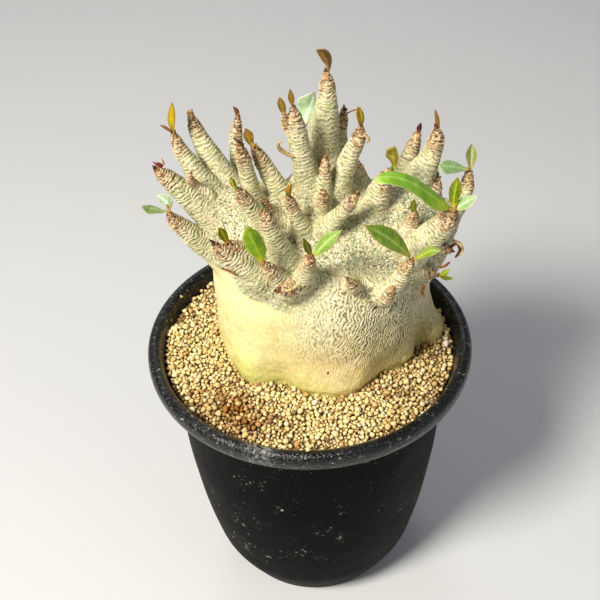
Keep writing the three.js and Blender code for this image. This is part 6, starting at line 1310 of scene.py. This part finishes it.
def build_leaf(name, kind, mid, left, right, seed):
    nu, nv = ((58, 25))
    mid, left, right = (np.array(p, float) for p in (mid, left, right))
    # the same steps along all three lines
    def res(P):
        t = np.linspace(0, 1, len(P))
        u = np.linspace(0, 1, nu)
        m = np.gradient(P, t, axis=0)
        i = np.clip(np.searchsorted(t, u, side="right") - 1, 0, len(P) - 2)
        h = t[1]
        w = ((u - t[i]) / h)[:, None]
        return ((2 * w ** 3 - 3 * w ** 2 + 1) * P[i] + (w ** 3 - 2 * w * w + w) * h * m[i]
                + (-2 * w ** 3 + 3 * w * w) * P[i + 1] + (w ** 3 - w * w) * h * m[i + 1])
    M, A, B = res(mid), res(left), res(right)
    u = np.linspace(0, 1, nu)
    # the blade starts a little way up a short stalk
    v = np.linspace(-1, 1, nv)
    hw = 0.5 * np.linalg.norm(A - B, axis=1)
    stalk = smooth(0.0, 0.10, u)
    G = np.empty((nu, nv, 3))
    for j, t in enumerate(v):
        if t <= 0:
            G[:, j] = M * (1 + t) ** 1 + A * (-t)
        else:
            G[:, j] = M * (1 - t) + B * t
        # edges stay soft: a rounded cross section instead of a folded one
    bow = (1 - np.abs(v)) * np.abs(v) * 4
    Tn = np.gradient(M, axis=0)
    Tn /= np.linalg.norm(Tn, axis=1)[:, None] + 1e-9
    side = B - A
    side /= np.linalg.norm(side, axis=1)[:, None] + 1e-9
    Nn = np.cross(Tn, side)
    Nn /= np.linalg.norm(Nn, axis=1)[:, None] + 1e-9
    # the face of the blade looks forward and up
    if ((Nn * hw[:, None]).sum(0) @ np.array([-0.1, -0.6, 0.8])) < 0:
        Nn = -Nn
    # waves, veins
    rs = np.random.RandomState(seed)
    width = hw[:, None]
    vv = np.abs(v)[None, :]
    L = np.linalg.norm(np.diff(M, axis=0), axis=1).sum()
    count = max(5, int(L / 1.9))
    phase = rs.uniform(0, 1)
    su = u[:, None] * count + phase - vv * 1.3
    vein_f = np.exp(-(((su % 1.0) - 0.5) / 0.13) ** 2) * smooth(0.06, 0.22, vv) * smooth(1.02, 0.75, vv)
    mid_f = np.exp(-(vv * width / 0.46) ** 2) * smooth(1.0, 0.75, u)[:, None]
    P3 = G.reshape(-1, 3) + seed * 3.7
    lump = (noise(P3, 4.5, 201) * 0.18 + noise(P3, 2.0, 202) * 0.06).reshape(nu, nv)
    relief = (0.11 * (1 - vein_f) * (1 - vv) ** 0.4 - 0.10 * vein_f) * smooth(0, 2.5, width) - 0.20 * mid_f * smooth(0.3, 1.8, width)
    off = (lump + relief) * smooth(0.0, 1.0, width)
    quilt = 0.16 * bow[None, :] * smooth(0.5, 3.0, width)
    th = np.full((nu, nv), 0.24)
    th *= (0.45 + 0.55 * (1 - vv ** 3))
    th = th + 0.50 * mid_f * smooth(1.0, 0.3, u)[:, None] * 0.6
    th_tip = smooth(1.0, 0.94, u)[:, None] * 0.7 + 0.3
    th = th * th_tip
    # the stalk: where the blade is thinner than its own midrib, round it off
    thin = smooth(0.75, 0.25, width / 0.75)
    th = th * (1 - thin) + thin * np.sqrt(np.clip(1 - vv ** 2, 0.02, 1)) * np.maximum(width, 0.32)
    up = G + Nn[:, None, :] * (off + quilt + th * 0.5)[:, :, None]
    lo = G + Nn[:, None, :] * (off + quilt - th * 0.5 - 0.25 * mid_f * smooth(0.5, 2.0, width))[:, :, None]
    V = np.concatenate([up.reshape(-1, 3), lo.reshape(-1, 3)])
    n1 = nu * nv
    idx = np.arange(n1).reshape(nu, nv)
    q = np.stack([idx[:-1, :-1], idx[:-1, 1:], idx[1:, 1:], idx[1:, :-1]], -1).reshape(-1, 4)
    bottom = q[:, ::-1] + n1
    def strip(a, b):
        return np.stack([a[:-1], a[1:], b[1:], b[:-1]], 1)
    rim = np.concatenate([idx[0, :], idx[1:, -1], idx[-1, -2::-1], idx[-2::-1, 0]])
    rim_q = np.stack([rim[:-1], rim[:-1] + n1, rim[1:] + n1, rim[1:]], 1)
    F = [q, bottom, rim_q]
    # outward check by volume
    allq = np.concatenate(F)
    vol = 0.0
    for (i, j, k) in ((0, 1, 2), (0, 2, 3)):
        a, b, c = V[allq[:, i]], V[allq[:, j]], V[allq[:, k]]
        vol += np.einsum("ij,ij->i", a - V[0], np.cross(b - V[0], c - V[0])).sum()
    if vol < 0:
        allq = allq[:, ::-1]
    ob = make_mesh(name, V, allq)
    # colour
    f1, f2, edge, rib, under, stalk_c, ea = (np.array(c) if not isinstance(c, float) else c for c in LEAF_LOOK[kind])
    c = np.tile(f1, (n1, 1))
    mott = (noise(P3, 3.4, 211) * 0.6 + noise(P3, 1.2, 212) * 0.4)
    c = mixc(c, f2, smooth(-0.25, 0.5, mott))
    vf, mf = vein_f.ravel(), mid_f.ravel()
    sm = np.repeat(smooth(0.5, 2.0, hw), nv)
    c = mixc(c, rib, vf * 0.38 * sm)
    c = mixc(c, rib, mf * 0.95)
    rim_w = np.clip(0.50 / np.maximum(width, 0.5), 0.12, 0.45)
    ev = smooth(0.0, 0.8, (vv - (1 - rim_w)) / rim_w).ravel()
    tipf = np.repeat(smooth(0.86, 1.0, u), nv)
    c = mixc(c, edge, np.maximum(ev, tipf * 0.8) * ea)
    base = np.repeat(smooth(0.26, 0.05, u), nv)
    c = mixc(c, stalk_c, base * 0.85)
    foot = np.repeat(smooth(0.05, 0.0, u), nv)
    c = mixc(c, [0.30, 0.08, 0.02], foot * 0.7)
    if kind in ("vivid", "mid", "deep", "shade", "bright"):
        bl = smooth(0.42, 0.62, noise(P3, 2.6, 221)) * smooth(0.2, 0.9, np.abs(np.tile(v, nu)))
        c = mixc(c, np.array([0.50, 0.42, 0.06]), bl * 0.30)
        pin = smooth(0.58, 0.70, noise(P3, 0.9, 223))
        c = mixc(c, np.array([0.26, 0.12, 0.03]), pin * 0.35)
    if kind in ("amber", "olive", "rust", "wine", "dry", "taupe"):
        bl = smooth(0.15, 0.55, noise(P3, 3.0, 222))
        c = mixc(c, edge, bl * 0.6)
    c = np.clip(c * np.array(LEAF_TINT[name.replace("look_", "")]), 0.002, 0.92)
    cu = mixc(np.tile(under, (n1, 1)), rib, np.clip(mf * 0.7 + vf * 0.3, 0, 1))
    cu = mixc(cu, edge, ev * ea * 0.7)
    cu = mixc(cu, stalk_c, base * 0.85)
    add_color(ob, "tone", np.clip(np.concatenate([c, cu]), 0.004, 1))
    return ob


def leaf_material(kind):
    m = Nodes("leaf_" + kind)
    tone = m.attr("tone", "Color")
    n1 = m.noise(1400, 3, 0.5)
    n2 = m.noise(260, 4, 0.6)
    c = m.mix(m.range(n2, 0.3, 0.7, 0.0, 0.35), tone, (0.80, 0.82, 0.66), "MULTIPLY")
    dust = m.range(m.noise(700, 5, 0.7), 0.64, 0.74, 0.0, 0.10)
    c = m.mix(dust, c, (0.60, 0.60, 0.46))
    m.link(c, m.b.inputs["Base Color"])
    dry = kind in ("wine", "rust", "dry")
    rough = {"vivid": 0.36, "deep": 0.36, "mid": 0.38, "bright": 0.38, "shade": 0.36, "dry": 0.7}.get(kind, 0.44)
    m.link(m.range(n2, 0.3, 0.7, rough - 0.04, rough + 0.10), m.b.inputs["Roughness"])
    m.set(Specular_IOR_Level=0.26)
    if not dry:
        m.set(Subsurface_Weight=0.12, Subsurface_Scale=0.0012)
        m.b.inputs["Subsurface Radius"].default_value = (0.6, 1.0, 0.3)
    m.bump(m.math("ADD", n1, m.math("MULTIPLY", m.voronoi(900), 0.7)), 0.18 if not dry else 0.4, 0.0002)
    return m.mat


# ---------------------------------------------------------------- buds, scales and dried bits
def bud(center, direction, length, radius, pointed=1.3, petals=3, nu=18, nv=16, open_=0.0):
    """A small closed bud: a pointed egg with shallow seams where its scales meet."""
    d = np.array(direction, float)
    d /= np.linalg.norm(d)
    h = np.array([0.0, 0, 1]) if abs(d[2]) < 0.9 else np.array([1.0, 0, 0])
    e1 = np.cross(h, d)
    e1 /= np.linalg.norm(e1)
    e2 = np.cross(d, e1)
    V, rows = [], []
    ts = np.linspace(0, 1, nu)
    for t in ts:
        r = radius * (math.sin(math.pi * min(1, t ** 0.62)) ** 0.8 if 0 < t < 1 else 0) * (1 - 0.35 * t ** pointed)
        if t in (0.0, 1.0):
            rows.append([len(V)])
            V.append(np.array(center) + d * length * t)
            continue
        row = []
        for k in range(nv):
            a = k / nv * 2 * math.pi
            seam = 1 - 0.16 * abs(math.cos(petals * a / 2 + 1.4 * t)) ** 8
            row.append(len(V))
            V.append(np.array(center) + d * length * t + (e1 * math.cos(a) + e2 * math.sin(a)) * r * seam)
        rows.append(row)
    quads, tris = [], []
    for p, q in zip(rows[:-1], rows[1:]):
        m = max(len(p), len(q))
        for k in range(m):
            j = (k + 1) % m
            if len(p) == 1:
                tris.append((p[0], q[j], q[k]))
            elif len(q) == 1:
                tris.append((p[k], p[j], q[0]))
            else:
                quads.append((p[k], p[j], q[j], q[k]))
    return np.array(V), quads, tris


def ribbon(rows, normal, curl=0.5, thick=0.22, nu=22, nv=7, seed=0):
    """A closed dried strip along rows of (x, y, z, half width), curled across its width."""
    P, s = spline(np.array(rows, float), nu)
    T = np.gradient(P[:, :3], axis=0)
    T /= np.linalg.norm(T, axis=1)[:, None]
    n0 = np.array(normal, float)
    S = np.cross(T, n0)
    S /= np.linalg.norm(S, axis=1)[:, None] + 1e-9
    Nn = np.cross(S, T)
    v = np.linspace(-1, 1, nv)
    w = P[:, 3]
    G = P[:, None, :3] + S[:, None] * (v[None, :, None] * w[:, None, None])
    G = G + Nn[:, None] * (-(v ** 2)[None, :, None] * (w * curl)[:, None, None])
    G = G + Nn[:, None] * (0.10 * noise(G.reshape(-1, 3) + seed, 0.8, 301).reshape(nu, nv))[:, :, None]
    th = thick * (0.5 + 0.5 * (1 - np.abs(v) ** 2))
    up = G + Nn[:, None] * (th * 0.5)[None, :, None]
    lo = G - Nn[:, None] * (th * 0.5)[None, :, None]
    V = np.concatenate([up.reshape(-1, 3), lo.reshape(-1, 3)])
    n1 = nu * nv
    idx = np.arange(n1).reshape(nu, nv)
    q = np.stack([idx[:-1, :-1], idx[:-1, 1:], idx[1:, 1:], idx[1:, :-1]], -1).reshape(-1, 4)
    rim = np.concatenate([idx[0, :], idx[1:, -1], idx[-1, -2::-1], idx[-2::-1, 0]])
    F = np.concatenate([q, q[:, ::-1] + n1, np.stack([rim[:-1], rim[:-1] + n1, rim[1:] + n1, rim[1:]], 1)])
    a = 0.0
    for (i, j, k) in ((0, 1, 2), (0, 2, 3)):
        a += np.einsum("ij,ij->i", V[F[:, i]] - V[0], np.cross(V[F[:, j]] - V[0], V[F[:, k]] - V[0])).sum()
    if a < 0:
        F = F[:, ::-1]
    return V, [tuple(f) for f in F], []


TINTS = {
    "straw": (0.62, 0.44, 0.20), "rust": (0.32, 0.12, 0.04), "orange": (0.62, 0.26, 0.04), "dark": (0.09, 0.045, 0.025),
    "red": (0.36, 0.04, 0.03), "bud": (0.60, 0.33, 0.06), "green": (0.16, 0.26, 0.06), "tan": (0.50, 0.33, 0.16), "white": (0.72, 0.72, 0.58),
}


def build_details():
    """Buds at the growing tips, bud scales, and dried strips; one piece."""
    V, Q, T, C = [], [], [], []
    off = 0

    def put(part, tint, seed=0):
        nonlocal off
        v, q, t = part
        V.append(v)
        Q.extend(tuple(np.array(f) + off) for f in q)
        T.extend(tuple(np.array(f) + off) for f in t)
        c = np.tile(TINTS[tint], (len(v), 1))
        c = mixc(c, c * 0.45, smooth(-0.1, 0.5, noise(v + seed, 0.9, 311)))
        c = mixc(c, c * 1.35, smooth(0.1, 0.6, noise(v - seed, 0.6, 312)) * 0.6)
        C.append(c)
        off += len(v)

    rs = np.random.RandomState(31)
    # every growing tip ends in a tiny bud between two or three scales
    for k, (name, rows) in enumerate(STEMS.items()):
        tip, nxt = np.array(rows[0][:3]), np.array(rows[1][:3])
        d = tip - nxt
        d /= np.linalg.norm(d)
        r = rows[0][3]
        tint = ["rust", "bud", "rust", "green", "bud", "dark"][rs.randint(6)]
        if name == "stem_01":
            tint = "orange"
        if name == "stem_04":
            tint = "bud"
        put(bud(tip + d * (r * 0.25), d + rs.normal(size=3) * 0.12, r * 0.9 + 0.8, r * 0.42 + 0.1), tint, k)
        for j in range(9):
            a = rs.normal(size=3)
            a -= d * (a @ d)
            a /= np.linalg.norm(a)
            back = 0.15 + 0.42 * (j // 3) * r
            c0 = tip + a * r * (0.42 + 0.13 * (j // 3)) + d * (r * 0.45 - back)
            size = rs.uniform(0.7, 1.25)
            put(bud(c0 - d * 0.3, d * 0.9 + a * rs.uniform(0.4, 1.1), (r * 0.42 + 0.5) * size, (r * 0.20 + 0.12) * size, nu=9, nv=8),
                ["rust", "dark", "straw", "dark", "tan", "rust", "tan", "dark", "straw"][j], k + j)
    for k, (name, (tint, rows)) in enumerate(DRIED.items()):
        put(ribbon(rows, (0.2, -0.8, 0.55), curl=0.7, seed=k * 3.1), tint, k)
    for k, (c, d, L, r, tint) in enumerate(BUDS):
        put(bud(c, d, L, r), tint, k + 50)
    ob = make_mesh("buds_and_scales", np.concatenate(V), [np.array(Q, int), np.array(T, int)])
    add_color(ob, "tone", np.clip(np.concatenate(C), 0.005, 1))
    return ob


def detail_material():
    m = Nodes("dry_scales")
    tone = m.attr("tone", "Color")
    n1 = m.noise(1600, 4, 0.6)
    m.link(m.mix(m.range(n1, 0.3, 0.7, 0, 0.5), tone, (0.6, 0.5, 0.4), "MULTIPLY"), m.b.inputs["Base Color"])
    m.set(Roughness=0.6, Specular_IOR_Level=0.35)
    m.bump(n1, 0.4, 0.0002)
    return m.mat


# ---------------------------------------------------------------- build
def use(ob, mat, nodes):
    ob.data.materials.clear()
    ob.data.materials.append(mat)
    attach(ob, ROOT)
    if nodes:
        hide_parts(*nodes)
    return ob


plant, lines = skin()
use(plant, skin_material(), ["caudex"] + ["stem_%02d" % k for k in range(1, 27)])

mats = {k: leaf_material(k) for k in LEAF_LOOK}
for k, (name, (kind, mid, left, right)) in enumerate(LEAVES.items()):
    look = LEAF_KIND[name]
    ob = build_leaf("look_" + name, look, mid, left, right, 400 + k)
    use(ob, mats[look], [name])

use(build_details(), detail_material(), [])
use(build_bed(), bed_material(), ["soil"])
use(build_grit(), grit_material(), [])
pot = use(build_pot(), pot_material("black_plastic", 0.035, 0.46, 0.0, 0.75), ["pot"])
# the lip catches more light than the wall
pot.data.materials.append(pot_material("black_plastic_lip", 0.36, 0.20, 0.06, 1.0))
for face in pot.data.polygons:
    if face.center.z > 0.1315:
        face.material_index = 1

# ---------------------------------------------------------------- floor, light, camera
bpy.ops.mesh.primitive_plane_add(size=6.0, location=(0, 0, 0))
floor = bpy.context.object
floor.name = "floor"
fm = Nodes("pale_floor")
fm.set(Base_Color=(0.66, 0.655, 0.64, 1), Roughness=0.7, Specular_IOR_Level=0.2)
floor.data.materials.append(fm.mat)


def area(name, loc, target, size, power, color):
    L = bpy.data.lights.new(name, "AREA")
    L.shape = "DISK"
    L.size = size
    L.energy = power
    L.color = color
    o = bpy.data.objects.new(name, L)
    bpy.context.scene.collection.objects.link(o)
    o.location = loc
    o.rotation_euler = (Vector(target) - Vector(loc)).to_track_quat("-Z", "Y").to_euler()
    return o


area("key", (-0.54, -0.58, 1.02), (0, 0, 0.17), 0.34, 21.0, (1.0, 0.97, 0.90))
area("fill", (0.95, -0.55, 0.75), (0, 0, 0.15), 1.1, 1.6, (0.92, 0.96, 1.0))
area("back", (-0.25, 1.0, 0.95), (0, 0, 0.15), 0.7, 3.0, (0.97, 0.98, 1.0))
world = bpy.data.worlds.new("studio")
bpy.context.scene.world = world
world.use_nodes = True
world.node_tree.nodes["Background"].inputs[0].default_value = (0.86, 0.90, 1.0, 1)
world.node_tree.nodes["Background"].inputs[1].default_value = 0.24

cam_data = bpy.data.cameras.new("camera")
cam_data.sensor_fit = "HORIZONTAL"
cam_data.sensor_width = 36.0
cam_data.lens = 60.0
cam_data.clip_start = 0.01
cam = bpy.data.objects.new("camera", cam_data)
bpy.context.scene.collection.objects.link(cam)
cam.matrix_world = Matrix((
    (0.999269490206713, 0.03821630466196216, 0.0, -0.003633159),
    (-0.02501824430231125, 0.6541702148067913, -0.7559334742632227, -0.340583368),
    (-0.028888983956618847, 0.7553812574571999, 0.6546484419047628, 0.458712452),
    (0, 0, 0, 1)))
bpy.context.scene.camera = cam

view = bpy.context.scene.view_settings
view.view_transform = "Standard"
view.look = "None"

bpy.context.view_layer.update()
